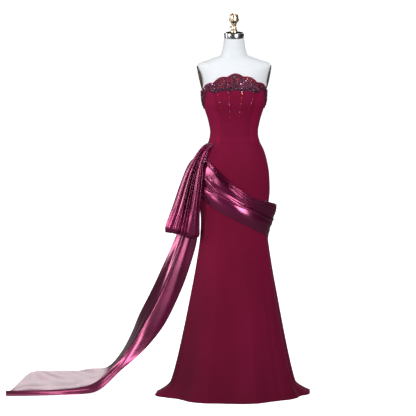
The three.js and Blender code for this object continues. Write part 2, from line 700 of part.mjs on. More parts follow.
function bowGeometry() {
  const columns = evenly(18);
  const turnSteps = [0.25, 0.5, 0.75];
  const front = evenly(bowFront.length - 1).map((f) => columns.map((u) => bowFrontPoint(u, f)));
  const bottom = turnSteps.map((t) =>
    columns.map((u) => {
      const from = bowFrontPoint(u, 1);
      const to = bowBackPoint(u, 0);
      const middle = (1 - Math.cos(Math.PI * t)) / 2;
      const point = from.lerp(to, middle);
      point.z -= (point.z - bowBottomHeight(u)) * Math.sin(Math.PI * t);
      return point;
    }),
  );
  const back = evenly(bowBack.length - 1).map((f) => columns.map((u) => bowBackPoint(u, f)));
  return sheetGeometry([...front, ...bottom, ...back], satinWall);
}

// ---- trailing end of the sash ----
function trainSection(fold, far, near, drop) {
  const toFar = trainAcrossFar.map((q) => {
    const point = fold.clone().lerp(far, q);
    point.z = far.z + (fold.z - far.z) * (1 - q) ** drop;
    return point;
  });
  const toNear = trainAcrossNear.map((q) => {
    const point = fold.clone().lerp(near, q);
    point.y -= trainSag * Math.sin(Math.PI * q);
    return point;
  });
  return [...toFar, ...toNear];
}

function trainGeometry() {
  const { z, far, near, seat } = trainTop;
  const seated = (angle) => gownPoint(z, angle, seat);
  const sewn = trainSection(seated(mix(far, near, 0.5)), seated(far), seated(near), 1);
  const curve = (key) => new THREE.CatmullRomCurve3(trainStations.map((row) => new THREE.Vector3(...row[key])));
  const [fold, farEdge, nearEdge] = ["fold", "far", "near"].map(curve);
  const last = trainStations.length - 1;
  const drops = curveOf(trainStations.map(({ drop }, i) => ({ i, drop })), "i", "drop");
  const rows = evenly(2 * last).map((t) =>
    trainSection(fold.getPoint(t), farEdge.getPoint(t), nearEdge.getPoint(t), drops(t * last)),
  );
  const floor = satinWall / 2 + floorGap;
  for (const point of rows.flat()) point.z = Math.max(point.z, floor);
  return sheetGeometry([sewn, ...rows], satinWall);
}

// ---- zip at centre back ----
const pinAt = new THREE.Vector3(
  0,
  gownPoint(zip.top + slider.height, 180).y + zip.lift + slider.thickness + pullTab.eyeRadius + restGap,
  zip.top + slider.height - lug.fromTop,
);

function zipCoilGeometry() {
  const grid = (lift) =>
    evenly(12, zip.bottom, zip.top).map((z) =>
      [-1, 1].map((side) => gownPoint(z, besideSeam(z, 180, (side * zip.width) / 2), lift)),
    );
  return wallGeometry(grid(zip.lift + zip.height), grid(zip.lift));
}

function block(x0, x1, y0, y1, z0, z1) {
  return new THREE.BoxGeometry(x1 - x0, y1 - y0, z1 - z0).translate((x0 + x1) / 2, (y0 + y1) / 2, (z0 + z1) / 2);
}

// A flat body against the gown, with two lugs that carry the pull tab's pin.
function sliderGeometry() {
  const far = pinAt.y - pullTab.eyeRadius - restGap;
  const low = zip.top + restGap;
  const half = slider.width / 2;
  const joint = 0.5; // how far the lugs and the pin run into each other
  const [inner, outer] = [lug.apart / 2, lug.apart / 2 + lug.width];
  const reach = pinAt.y + lug.pinRadius + lug.cover;
  const [under, over] = [pinAt.z - lug.halfHeight, pinAt.z + lug.halfHeight];
  const lugBlock = (from, to) => block(from, to, far - joint, reach, under, over);
  const pin = new THREE.CylinderGeometry(lug.pinRadius, lug.pinRadius, 2 * (inner + joint), 12)
    .rotateZ(Math.PI / 2)
    .translate(0, pinAt.y, pinAt.z);
  const body = block(-half, half, far - slider.thickness, far, low, low + slider.height);
  return joinedGeometry([body, lugBlock(-outer, -inner), lugBlock(inner, outer), pin]);
}

// A flat ring and arm, seen from the side, pushed out along X between the slider's lugs.
function pullTabGeometry() {
  const { eyeRadius, holeRadius, length, thickness, width } = pullTab;
  const half = thickness / 2;
  const meet = Math.asin(half / eyeRadius);
  const outline = new THREE.Shape();
  outline.absarc(0, 0, eyeRadius, -Math.PI / 2 + meet, (3 * Math.PI) / 2 - meet, false);
  outline.lineTo(-half, -length + half);
  outline.absarc(0, -length + half, half, Math.PI, 2 * Math.PI, false);
  outline.lineTo(half, -eyeRadius * Math.cos(meet));
  outline.holes.push(new THREE.Path().absarc(0, 0, holeRadius, 0, 2 * Math.PI, true));
  const solid = new THREE.ExtrudeGeometry(outline, { depth: width, bevelEnabled: false, curveSegments: 6 });
  // The outline's x becomes Y, its y becomes Z and the depth runs along X.
  return solid.applyMatrix4(new THREE.Matrix4().set(0, 0, 1, -width / 2, 1, 0, 0, 0, 0, 1, 0, 0, 0, 0, 0, 1));
}

function zipPieces() {
  return [
    ["zip_coil", zipCoilGeometry(), zipMetal],
    ["zip_slider", sliderGeometry(), zipMetal],
    ["zip_pull_tab", pullTabGeometry(), zipMetal, pinAt],
  ];
}

// ---- dress form ----
const torsoColumns = 28;
const torsoLevels = [
  torsoBottom, 905, 975, 1045, 1088, 1118, 1142, 1165, 1188, 1209, 1248, 1278, 1308, 1332, 1356, 1378, 1400, 1422,
  1445, 1490, 1525, 1550, 1566, 1576, 1590, 1603, 1616, 1650, torsoTop,
];
const plateColumns = 24;
const armholeX = (z) => mix(armhole.lowX, armhole.highX, (z - armhole.low) / (armhole.high - armhole.low));

function torsoGeometry() {
  const rings = torsoLevels.map((z) =>
    evenly(torsoColumns, 0, 360).slice(0, torsoColumns).map((angle) => {
      const point = formPoint(z, angle);
      const limit = armholeX(z) - armhole.plate - restGap;
      if (z > flatSide.from && z < flatSide.to) point.x = Math.min(Math.max(point.x, -limit), limit);
      return point;
    }),
  );
  return ringGeometry(rings);
}

// An oval plate on the flat side of the form.
function armholePlateGeometry(side) {
  const middle = (armhole.low + armhole.high) / 2;
  const halfHeight = (armhole.high - armhole.low) / 2;
  const ring = (inward, shrink) =>
    evenly(plateColumns, 0, 360).slice(0, plateColumns).map((degrees) => {
      const a = radians(degrees);
      const z = middle + (halfHeight - shrink) * Math.sin(a);
      const y = (armhole.halfDepth - shrink) * Math.cos(a) + armhole.centreY;
      return new THREE.Vector3(side * (armholeX(z) - inward), y, z);
    });
  const { plate, edge } = armhole;
  return ringGeometry([ring(plate, 0), ring(edge.depth, 0), ring(0, edge.inset)]);
}


function formPieces() {
  const screw = new THREE.CylinderGeometry(neckScrew.radius, neckScrew.radius, neckScrew.length, 10)
    .rotateZ(Math.PI / 2)
    .translate(-neckScrew.start - neckScrew.length / 2, 0, neckScrew.z);
  return [
    ["form_torso", torsoGeometry(), formCover],
    ["form_armhole_plate_right", armholePlateGeometry(1), darkWood],
    ["form_armhole_plate_left", armholePlateGeometry(-1), darkWood],
    ["form_neck_cap", turnedGeometry(neckCap, 24), steel],
    ["form_finial", turnedGeometry(finial, 16), brass],
    ["form_neck_screw", screw, steel],
    ["stand_pole", turnedGeometry(poleProfile, 16), steel],
    ["stand_base", turnedGeometry(baseProfile, 28), steel],
  ];
}

// ---- the whole part ----
const pieces = [
  ...skirtPieces(),
  ...bodicePieces(),
  ...beadworkPieces(),
  ...sashPieces(),
  ["bow_loop", bowGeometry(), satin],
  ["sash_train", trainGeometry(), satin],
  ...zipPieces(),
  ...formPieces(),
];

const gown = new THREE.Group();
for (const [name, geometry, material, place] of pieces) {
  const mesh = new THREE.Mesh(geometry, material);
  mesh.name = name;
  if (place) mesh.position.copy(place);
  gown.add(mesh);
}

export default gown;
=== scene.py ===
# A strapless crepe evening gown with a beaded neckline and a satin hip sash, on a limbless dress form.
# The gown faces -Y, its bow and the trailing end of the sash are at -X, and +Z is up.
# Tables are in millimetres and degrees, the meshes are in metres.
import math

import bpy
import numpy as np
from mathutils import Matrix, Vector


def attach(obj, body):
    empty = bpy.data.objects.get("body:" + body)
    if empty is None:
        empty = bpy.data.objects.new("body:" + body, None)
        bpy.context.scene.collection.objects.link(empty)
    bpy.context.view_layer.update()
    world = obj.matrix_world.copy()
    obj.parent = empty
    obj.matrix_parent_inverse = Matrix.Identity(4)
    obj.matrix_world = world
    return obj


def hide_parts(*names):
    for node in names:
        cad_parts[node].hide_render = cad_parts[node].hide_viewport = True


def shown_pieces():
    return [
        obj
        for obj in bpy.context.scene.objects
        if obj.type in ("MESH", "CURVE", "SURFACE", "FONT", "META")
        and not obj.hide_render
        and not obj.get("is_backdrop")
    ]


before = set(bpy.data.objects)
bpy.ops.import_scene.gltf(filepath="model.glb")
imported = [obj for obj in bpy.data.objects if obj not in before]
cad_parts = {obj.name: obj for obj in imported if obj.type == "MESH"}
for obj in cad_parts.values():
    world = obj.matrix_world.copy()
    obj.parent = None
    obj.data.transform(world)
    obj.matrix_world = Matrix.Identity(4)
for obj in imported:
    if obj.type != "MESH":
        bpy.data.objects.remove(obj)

for leftover in ("Cube", "Light", "Camera"):
    if leftover in bpy.data.objects:
        bpy.data.objects.remove(bpy.data.objects[leftover])
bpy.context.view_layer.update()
gownBody = "gown_on_form"
milli = 0.001
lipReach = 0.4  # how far a cut edge rounds out, as a share of the cloth's thickness
print("frame loaded:", len(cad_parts), "nodes")


# Curves through tables, and small sums
def curveOf(rows, column=1):
    # smooth through the rows, never overshooting between two of them
    at = np.array([row[0] for row in rows], float)
    value = np.array([row[column] for row in rows], float)
    slope = np.diff(value) / np.diff(at)
    tangent = np.concatenate([slope[:1], np.zeros(len(at) - 2), slope[-1:]])
    for i in range(1, len(at) - 1):
        before, after = slope[i - 1], slope[i]
        tangent[i] = 0 if before * after <= 0 else 2 * before * after / (before + after)

    def read(x):
        x = np.clip(np.asarray(x, float), at[0], at[-1])
        i = np.clip(np.searchsorted(at, x) - 1, 0, len(at) - 2)
        h = at[i + 1] - at[i]
        t = (x - at[i]) / h
        rise = t * t * (3 - 2 * t)
        bend = t * (1 - t) * (1 - t) * tangent[i] - t * t * (1 - t) * tangent[i + 1]
        return value[i] * (1 - rise) + value[i + 1] * rise + h * bend

    return read


def flowThrough(rows, t):
    # a Catmull-Rom curve through rows of numbers, read at places t from 0 to 1
    rows = np.array(rows, float)
    last = len(rows) - 1
    place = np.clip(np.asarray(t, float), 0, 1) * last
    i = np.minimum(place.astype(int), last - 1)
    s = (place - i).reshape(-1, *[1] * (rows.ndim - 1))
    padded = np.concatenate([2 * rows[:1] - rows[1:2], rows, 2 * rows[-1:] - rows[-2:-1]])
    a, b, c, d = (padded[i + k] for k in range(4))
    return 0.5 * (2 * b + (c - a) * s + (2 * a - 5 * b + 4 * c - d) * s**2 + (3 * b - a - 3 * c + d) * s**3)


def mix(a, b, t):
    return a + (b - a) * t


def smoothStep(low, high, x):
    t = np.clip((np.asarray(x, float) - low) / (high - low), 0, 1)
    return t * t * (3 - 2 * t)


def bell(x):
    return np.exp(-np.square(x))


def turnFrom(a, b):
    return (a - b + 540.0) % 360.0 - 180.0


def evenly(count, low=0.0, high=1.0):
    return np.linspace(low, high, count + 1)


def roundTurns(count):
    return evenly(count, 0, 2 * math.pi)[:-1]


def unit(vectors):
    return vectors / np.maximum(np.linalg.norm(vectors, axis=-1, keepdims=True), 1e-12)


# Meshes from grids of points
def newPiece(name, vertices, faces, material, slot=None, stands=(), sharp=38, uv=None):
    mesh = bpy.data.meshes.new(name)
    mesh.from_pydata(np.asarray(vertices, float).tolist(), [], faces)
    mesh.validate()
    mesh.polygons.foreach_set("use_smooth", [True] * len(mesh.polygons))
    mesh.set_sharp_from_angle(angle=math.radians(sharp))
    if uv is not None:
        layer = mesh.uv_layers.new(name="cloth")
        corners = np.zeros(len(mesh.loops), int)
        mesh.loops.foreach_get("vertex_index", corners)
        layer.data.foreach_set("uv", np.asarray(uv, float)[corners].ravel())
    mesh.materials.append(material)
    piece = bpy.data.objects.new(name, mesh)
    bpy.context.scene.collection.objects.link(piece)
    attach(piece, gownBody)
    if stands:
        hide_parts(*stands)
    return piece


def wearing(nodeName, material):
    # a solid of the frame that is shown as it is, in a finish of its own
    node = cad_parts[nodeName]
    node.data.materials.clear()
    node.data.materials.append(material)
    return node


def gridNormals(grid):
    return unit(np.cross(np.gradient(grid, axis=1), np.gradient(grid, axis=0)))


def stepLengths(grid, axis):
    steps = np.linalg.norm(np.diff(grid, axis=axis), axis=2)
    zero = np.zeros((1, steps.shape[1]) if axis == 0 else (steps.shape[0], 1))
    return np.cumsum(np.concatenate([zero, steps], axis=axis), axis=axis)


def clothPiece(name, gridMm, thickness, material, held, restsOn, flip=False, **options):
    # a thin cloth whose outside lies in the grid, with rounded cut edges
    outer = gridMm * milli
    side = -1 if flip else 1
    inner = outer - side * gridNormals(outer) * thickness * milli
    rows, cols = outer.shape[:2]
    index = np.arange(rows * cols).reshape(rows, cols)
    loop = np.concatenate([index[0, :-1], index[:-1, -1], index[-1, :0:-1], index[:0:-1, 0]])
    row, col = loop // cols, loop % cols
    inward = outer[np.clip(row, 1, rows - 2), np.clip(col, 1, cols - 2)]
    out = unit(outer[row, col] - inward)
    lip = (outer[row, col] + inner[row, col]) / 2 + out * thickness * milli * lipReach
    vertices = np.concatenate([outer.reshape(-1, 3), inner.reshape(-1, 3), lip])
    under, edge = rows * cols, 2 * rows * cols

    def quads(a, b, c, d):
        corners = [a, d, c, b] if flip else [a, b, c, d]
        return np.stack([x.ravel() for x in corners], axis=1)

    a, b, c, d = index[:-1, :-1], index[:-1, 1:], index[1:, 1:], index[1:, :-1]
    step = np.roll(loop, -1)
    rim = edge + np.arange(len(loop))
    rimNext = np.roll(rim, -1)
    faces = np.concatenate(
        [
            quads(a, b, c, d),
            quads(a + under, d + under, c + under, b + under),
            quads(step, loop, rim, rimNext),
            quads(rimNext, rim, loop + under, step + under),
        ]
    )
    flatPlaces = np.stack([stepLengths(outer, 1), stepLengths(outer, 0)], axis=2).reshape(-1, 2)
    uv = np.concatenate([flatPlaces, flatPlaces, flatPlaces[loop]])
    piece = newPiece(name, vertices, faces.tolist(), material, uv=uv, **options)
    return piece


def ringPiece(name, rings, material, **options):
    # a closed solid through rings of points, its ends drawn in to their middles
    rings = np.asarray(rings, float) * milli
    rows, cols = rings.shape[:2]
    ends = [rings[0].mean(axis=0), rings[-1].mean(axis=0)]
    vertices = np.concatenate([rings.reshape(-1, 3), ends])
    index = np.arange(rows * cols).reshape(rows, cols)
    nextCol = np.roll(index, -1, axis=1)
    faces = np.stack([index[:-1], nextCol[:-1], nextCol[1:], index[1:]], axis=2).reshape(-1, 4).tolist()
    faces += [[rows * cols, nextCol[0, k], index[0, k]] for k in range(cols)]
    faces += [[rows * cols + 1, index[-1, k], nextCol[-1, k]] for k in range(cols)]
    return newPiece(name, vertices, faces, material, **options)


def turnedPiece(name, profile, material, segments=72, **options):
    # profile rows are (radius, height), from the lowest point to the highest
    turn = roundTurns(segments)
    rings = [np.stack([r * np.cos(turn), r * np.sin(turn), np.full(segments, z)], axis=1) for r, z in profile]
    return ringPiece(name, rings, material, **options)


# Finishes
def addNode(tree, kind, inputs, **settings):
    made = tree.nodes.new(kind)
    for key, value in settings.items():
        setattr(made, key, value)
    for key, value in inputs.items():
        if isinstance(value, bpy.types.NodeSocket):
            tree.links.new(value, made.inputs[key])
        else:
            made.inputs[key].default_value = value
    return made


def newFinish(name, fixed):
    # fixed values go to their own sockets; patterns are placed by the object's own coordinates
    finish = bpy.data.materials.new(name)
    finish.use_nodes = True
    tree = finish.node_tree
    shader = tree.nodes["Principled BSDF"]
    for key, value in fixed.items():
        shader.inputs[key].default_value = value
    place = addNode(tree, "ShaderNodeTexCoord", {}).outputs["Object"]
    return finish, tree, shader, place


def linkAll(tree, shader, sockets):
    for key, socket in sockets.items():
        tree.links.new(socket, shader.inputs[key])


def colourRamp(tree, factor, stops):
    ramp = addNode(tree, "ShaderNodeValToRGB", {"Fac": factor})
    elements = ramp.color_ramp.elements
    for element, (place, colour) in zip(elements, (stops[0], stops[-1])):
        element.position = place
        element.color = (*colour, 1)
    for place, colour in stops[1:-1]:
        elements.new(place).color = (*colour, 1)
    return ramp.outputs["Color"]


def noiseOf(tree, vector, scale, detail=2.0, stretch=None):
    if stretch:
        vector = addNode(tree, "ShaderNodeMapping", {"Vector": vector, "Scale": stretch}).outputs["Vector"]
    inputs = {"Vector": vector, "Scale": scale, "Detail": detail}
    return addNode(tree, "ShaderNodeTexNoise", inputs).outputs["Fac"]


def cellsOf(tree, vector, scale):
    return addNode(tree, "ShaderNodeTexVoronoi", {"Vector": vector, "Scale": scale}).outputs["Distance"]


def rangeOf(tree, value, low, high, start=0.0, end=1.0):
    inputs = {"Value": value, "From Min": start, "From Max": end, "To Min": low, "To Max": high}
    return addNode(tree, "ShaderNodeMapRange", inputs).outputs["Result"]


def multiplied(tree, first, second):
    inputs = {0: 1.0, 6: first, 7: second}
    return addNode(tree, "ShaderNodeMix", inputs, data_type="RGBA", blend_type="MULTIPLY").outputs[2]


def bumpOf(tree, height, strength, distance, under=None):
    inputs = {"Height": height, "Strength": strength, "Distance": distance}
    if under is not None:
        inputs["Normal"] = under
    return addNode(tree, "ShaderNodeBump", inputs).outputs["Normal"]


crepeLook = {
    "deep": (0.165, 0.0022, 0.028),
    "light": (0.235, 0.0042, 0.044),
    "clouds": 3.2, "cloudStretch": (1.0, 1.0, 0.45),
    "pebbles": 820.0, "pebbleShade": (0.82, 0.8, 0.81), "pebbleBump": (0.35, 0.0005),
    "crinkles": 574.0, "crinkleBump": (0.28, 0.0005),
    "roughness": (0.74, 0.90),
    "hemPaintedShade": 0.6,  # painted shade: how dark the crepe is at the hem, where less light reaches, against its full tone from the next height up
    "hemPaintedShadeTop": 0.78,
    "fixed": {
        "Sheen Weight": 0.06, "Sheen Roughness": 0.45, "Sheen Tint": (0.85, 0.25, 0.42, 1),
        "Specular IOR Level": 0.12,
    },
}


def crepeFinish(name, lighter=1.0):
    look = crepeLook
    finish, tree, shader, place = newFinish(name, look["fixed"])
    cloud = noiseOf(tree, place, look["clouds"], 3.0, stretch=look["cloudStretch"])
    pebble = noiseOf(tree, place, look["pebbles"], 3.0)
    deep, light = (tuple(lighter * c for c in look[tone]) for tone in ("deep", "light"))
    dye = colourRamp(tree, cloud, [(0.32, deep), (0.68, light)])
    grain = colourRamp(tree, pebble, [(0.3, look["pebbleShade"]), (0.7, (1.0, 1.0, 1.0))])
    # painted shade: the dye darkens toward the hem, standing in for light falling off downward
    height = addNode(tree, "ShaderNodeSeparateXYZ", {"Vector": place}).outputs["Z"]
    shade = rangeOf(tree, height, look["hemPaintedShade"], 1.0, 0.0, look["hemPaintedShadeTop"])
    inputs = {0: multiplied(tree, dye, grain), "Scale": shade}
    shaded = addNode(tree, "ShaderNodeVectorMath", inputs, operation="SCALE").outputs["Vector"]
    weave = bumpOf(tree, cellsOf(tree, place, look["crinkles"]), *look["crinkleBump"])
    linkAll(tree, shader, {
        "Base Color": shaded,
        "Roughness": rangeOf(tree, pebble, *look["roughness"]),
        "Normal": bumpOf(tree, pebble, *look["pebbleBump"], weave),
    })
    return finish


satinLook = {
    "deep": (0.17, 0.0022, 0.050),
    "light": (0.30, 0.0065, 0.098),
    "clouds": 5.0,
    "floats": (420.0, 2400.0, 1.0), "floatBump": (0.10, 0.0002),
    "streaks": (26.0, 3.5, 1.0), "streakBump": (0.07, 0.0025),
    "roughness": (0.21, 0.28),
    "fixed": {"Metallic": 0.75, "Coat Weight": 0.7, "Coat Roughness": 0.24, "Coat IOR": 1.62},
}


def satinFinish(name):
    look = satinLook
    finish, tree, shader, place = newFinish(name, look["fixed"])
    flat = addNode(tree, "ShaderNodeUVMap", {}, uv_map="cloth").outputs["UV"]
    floats = noiseOf(tree, flat, 1.0, 1.0, stretch=look["floats"])
    streak = noiseOf(tree, flat, 1.0, 2.0, stretch=look["streaks"])
    cloud = noiseOf(tree, place, look["clouds"])
    grain = bumpOf(tree, floats, *look["floatBump"])
    linkAll(tree, shader, {
        "Base Color": colourRamp(tree, cloud, [(0.35, look["deep"]), (0.68, look["light"])]),
        "Roughness": rangeOf(tree, streak, *look["roughness"]),
        "Normal": bumpOf(tree, streak, *look["streakBump"], grain),
    })
    return finish


beadLook = {"flecks": 700.0, "fleckShade": (0.62, 0.62, 0.66), "coatRoughness": 0.08}


def beadFinish(name, metallic, roughness, coat):
    # every bead carries its own colour in the tint layer
    look = beadLook
    finish, tree, shader, place = newFinish(name, {
        "Metallic": metallic, "Roughness": roughness, "Coat Weight": coat,
        "Coat Roughness": look["coatRoughness"],
    })
    tint = addNode(tree, "ShaderNodeVertexColor", {}, layer_name="tint").outputs["Color"]
    noise = noiseOf(tree, place, look["flecks"], 1.0)
    fleck = colourRamp(tree, noise, [(0.3, look["fleckShade"]), (0.7, (1.0, 1.0, 1.0))])
    linkAll(tree, shader, {"Base Color": multiplied(tree, tint, fleck)})
    return finish


# Plainer finishes: the stops of the dye, its clouds (scale, detail), and the grain that roughens it.
netLook = {
    "dye": [(0.36, (0.05, 0.003, 0.018)), (0.52, (0.13, 0.004, 0.032)), (0.68, (0.22, 0.005, 0.034))],
    "clouds": (62.0, 3.0), "cells": 520.0, "roughness": (0.45, 0.7), "bump": (0.6, 0.0012),
    "fixed": {"Specular IOR Level": 0.35},
}
jerseyLook = {
    "dye": [(0.3, (0.75, 0.785, 0.82)), (0.7, (0.80, 0.825, 0.85))],
    "clouds": (4.0, 2.0), "grain": (900.0, 900.0, 1500.0), "detail": 1.0, "roughness": (0.72, 0.9),
    "bump": (0.3, 0.0004), "fixed": {"Specular IOR Level": 0.3, "Sheen Weight": 0.1},
}
woodLook = {
    "dye": [(0.3, (0.018, 0.009, 0.006)), (0.55, (0.055, 0.028, 0.015)), (0.75, (0.12, 0.062, 0.033))],
    "grain": (160.0, 160.0, 14.0), "detail": 4.0, "roughness": (0.4, 0.62), "bump": (0.2, 0.0006),
    "fixed": {"Coat Weight": 0.25, "Coat Roughness": 0.3},
}


def metalLook(dark, light, roughness, metallic=1.0):
    return {
        "dye": [(0.3, dark), (0.7, light)], "grain": (40.0, 40.0, 900.0), "detail": 2.0,
        "roughness": (roughness * 0.8, roughness * 1.25), "bump": (0.05, 0.0003),
        "fixed": {"Metallic": metallic},
    }


def plainFinish(name, look):
    # the grain follows the threads or the brush; without clouds it carries the dye as well
    finish, tree, shader, place = newFinish(name, look["fixed"])
    if "cells" in look:
        grain = cellsOf(tree, place, look["cells"])
    else:
        grain = noiseOf(tree, place, 1.0, look["detail"], stretch=look["grain"])
    cloud = noiseOf(tree, place, *look["clouds"]) if "clouds" in look else grain
    linkAll(tree, shader, {
        "Base Color": colourRamp(tree, cloud, look["dye"]),
        "Roughness": rangeOf(tree, grain, *look["roughness"]),
        "Normal": bumpOf(tree, grain, *look["bump"]),
    })
    return finish


crepe = crepeFinish("burgundy crepe")
# a lighter copy of the crepe for the side panels: painted sheen where the light glances off the turned sides
crepeSidePaintedSheen = crepeFinish("burgundy crepe, side panels with painted sheen", 1.24)
piping = crepeFinish("burgundy piping", 1.9)
satin = satinFinish("burgundy duchess satin")
beadGlass = beadFinish("seed beads and sequins", 0.35, 0.22, 0.14)
stoneGlass = beadFinish("faceted stones", 0.75, 0.07, 0.3)
applique = plainFinish("embroidered net", netLook)
jersey = plainFinish("white cotton jersey", jerseyLook)
darkWood = plainFinish("stained wood", woodLook)
steel = plainFinish("brushed steel", metalLook((0.30, 0.31, 0.33), (0.50, 0.51, 0.53), 0.26))
darkSteel = plainFinish("blackened steel", metalLook((0.012, 0.013, 0.018), (0.035, 0.036, 0.045), 0.4, 0.7))
champagne = plainFinish("champagne plating", metalLook((0.80, 0.60, 0.38), (0.95, 0.78, 0.56), 0.3))
enamelLook = metalLook((0.10, 0.012, 0.035), (0.19, 0.025, 0.06), 0.3, 0.5)
zipEnamel = plainFinish("burgundy enamelled metal", enamelLook)
print("finishes made")

# The figure that the form and the gown share: height, half width, front depth, back depth
figure = {
    "form": [
        (850, 148, 112, 128), (905, 160, 115, 135), (975, 166, 115, 137), (1045, 163.5, 113, 129),
        (1118, 151.5, 105, 109), (1165, 137.5, 97, 92), (1209, 117, 89, 82), (1248, 110, 85, 78),
        (1308, 120, 89, 85), (1356, 135, 98, 93), (1400, 149, 109, 98), (1445, 152, 111, 101),
        (1490, 157, 101, 102), (1525, 164, 91, 99), (1550, 171, 81, 92), (1566, 175, 71, 80),
        (1576, 168, 64, 71), (1590, 130, 59, 64), (1603, 94, 57, 59), (1616, 64, 56, 55),
        (1650, 53.5, 50, 50), (1697, 46.5, 46.5, 46.5),
    ],
    "skirt": [
        (0, 316, 262, 345), (60, 292, 249, 305), (117, 276, 238, 276), (260, 245, 212, 234),
        (450, 209, 178, 190), (641, 175, 147, 158), (760, 159, 131, 145), (830, 156, 124, 141),
        (905, 162.4, 118.5, 138),
    ],
    "lift": 2.4,  # from the form to the outside of the crepe
}
bust = {"fullness": 5, "height": 1412, "spread": 48, "angle": 26, "width": 17}
formSide, formFront, formBack = (curveOf(figure["form"], k) for k in (1, 2, 3))
gownRows = figure["skirt"] + [
    (z, *(value + figure["lift"] for value in widths))
    for z, *widths in figure["form"] if z > figure["skirt"][-1][0]
]
gownSide, gownFront, gownBack = (curveOf(gownRows, k) for k in (1, 2, 3))

# Folds of the skirt: angle, width and depth at the hem, the height where it starts, and how far it leans.
skirtFolds = [
    (-62, 9, -11, 700, 0), (-38, 12, 8, 620, 0), (-14, 10, -6, 480, 0), (8, 11, 6, 430, 0),
    (33, 9, -8, 690, 0), (57, 11, 9, 760, 0), (74, 7, -10, 740, 0), (112, 10, -12, 720, 0),
    (131, 11, 12, 800, 0), (152, 8, -13, 760, 0), (171, 10, 12, 820, 0), (193, 9, -12, 790, 0),
    (214, 12, 11, 740, 0), (237, 9, -12, 700, 0), (254, 9, 9, 640, 0),
]
# Small ripples between the folds, with the same columns.
skirtRipples = [
    (-78, 3.2, -4.5, 860, 3), (-70, 3.6, 4.0, 560, -2), (-52, 3.8, -4.6, 780, 4), (-27, 4.2, 3.6, 900, -3),
    (-3, 3.6, -3.2, 640, 2), (17, 4.0, 4.2, 860, -3), (43, 3.6, -4.6, 860, 3), (64, 3.4, 4.2, 600, -3),
    (76, 2.8, -5.5, 940, -2), (84, 3.4, -3.6, 880, 2), (98, 3.2, 3.2, 640, -2), (121, 4.2, -4.4, 840, 4),
    (143, 3.8, 4.8, 620, -3), (161, 4.0, -4.6, 900, 3), (182, 3.4, 4.2, 700, -3), (203, 4.0, -4.4, 820, 3),
    (226, 3.8, 4.4, 600, -2), (246, 3.6, -4.6, 860, 2), (262, 3.4, 3.0, 560, -2),
]
# The hem flicks out at both side seams.
hemKick = {"reach": 83, "height": 57, "spread": 14, "sharpness": 1.6}
foldGrowth = 1.4  # how suddenly the folds deepen toward the hem


def bustFullness(z, angle):
    lobes = sum(bell(turnFrom(angle, side * bust["angle"]) / bust["width"]) for side in (1, -1))
    return bust["fullness"] * bell((z - bust["height"]) / bust["spread"]) * lobes


def ovalPoint(z, angle, side, depth, lift):
    a = np.radians(angle)
    x, y = side * np.sin(a), -depth * np.cos(a)
    nx, ny = x / side**2, y / depth**2
    size = np.hypot(nx, ny)
    return np.stack([x + lift * nx / size, y + lift * ny / size, z + 0 * x], axis=-1)


def foldDepth(z, angle, folds=skirtFolds):
    depth = 0
    for at, width, deep, top, lean in folds:
        grown = np.maximum(0, 1 - z / top) ** foldGrowth
        depth = depth + deep * grown * bell(turnFrom(angle, at + lean * z / top) / width)
    return depth


def kickOf(z, angle):
    kick = np.maximum(0, 1 - z / hemKick["height"]) ** hemKick["sharpness"]
    sides = sum(bell(turnFrom(angle, side * 90) / hemKick["spread"]) for side in (1, -1))
    return hemKick["reach"] * kick * sides


def gownPoint(z, angle, lift=0.0):
    z, angle, lift = np.broadcast_arrays(*(np.asarray(value, float) for value in (z, angle, lift)))
    depth = np.where(np.cos(np.radians(angle)) > 0, gownFront(z), gownBack(z))
    out = lift + foldDepth(z, angle) + kickOf(z, angle) + bustFullness(z, angle)
    return ovalPoint(z, angle, gownSide(z), depth, out)


def besideSeam(z, angle, distance):
    a = np.radians(angle)
    depth = np.where(np.cos(a) > 0, gownFront(z), gownBack(z))
    return angle + np.degrees(distance / np.hypot(gownSide(z) * np.cos(a), depth * np.sin(a)))


# Crepe panels
crepeCut = {
    "thickness": 1.1,
    "seamGap": 0.3,
    "waist": 1209,
    "waistRadius": 130,
    "dip": 0.6, "dipWidth": 1.3,  # how far the cloth rolls in at a seam
    "ridge": 0.22, "ridgeAt": 4.5, "ridgeWidth": 2.6,  # the seam allowance pressed under the cloth
    "pucker": 0.16, "puckerPitch": 0.52, "puckerReach": 5.0,
    "drift": 1.7, "driftPitch": 0.071,  # how uneven the puckers are along the seam
    "hemWidth": 10, "hemRidge": 0.45,
    "stitchDepth": 0.35, "stitchWidth": 0.9,
}
seamSteps = [0, 0.7, 1.4, 2.4, 4.0, 6.5]  # the rows and columns that lie close beside a seam
# Scallops of the neckline, from the middle: the angle where each one ends, the height there, and its rise.
necklineScallops = [
    (13, 1526, 16), (39.4, 1497, 11), (75, 1452, 12), (105, 1429, 9), (135, 1412, 7), (160, 1404, 5),
    (180, 1402, 3),
]
# The seam from the waist to the neckline: height, angle.
princessSeam = [(1209, 36), (1248, 37.4), (1320, 36.4), (1393, 38), (1449, 43.8), (1500, 48.6)]
princessAngle = curveOf(princessSeam)


def necklineHeight(angle):
    away = np.abs(turnFrom(np.asarray(angle, float), 0))
    height = np.zeros_like(away)
    start, dipBefore = -necklineScallops[0][0], necklineScallops[0][1]
    for to, dip, rise in necklineScallops:
        t = (away - start) / (to - start)
        here = mix(dipBefore, dip, t) + rise * np.sin(np.pi * np.clip(t, 0, 1))
        height = np.where((away >= max(start, 0)) & (away <= to + 1e-9), here, height)
        start, dipBefore = to, dip
    return height


def seamPlaces(count, length):
    # columns or rows from 0 to 1, closer together beside both seams
    near = np.array(seamSteps) / length
    middle = np.linspace(near[-1], 1 - near[-1], count + 1 - 2 * len(near[:-1]))
    return np.concatenate([near[:-1], middle, 1 - near[-2::-1]])


def besideSeamRelief(distance, along):
    look = crepeCut
    dip = -look["dip"] * bell(distance / look["dipWidth"])
    ridge = look["ridge"] * bell((distance - look["ridgeAt"]) / look["ridgeWidth"])
    waves = np.sin(along * look["puckerPitch"] + look["drift"] * np.sin(along * look["driftPitch"]))
    return dip + ridge + look["pucker"] * waves * np.exp(-distance / look["puckerReach"])


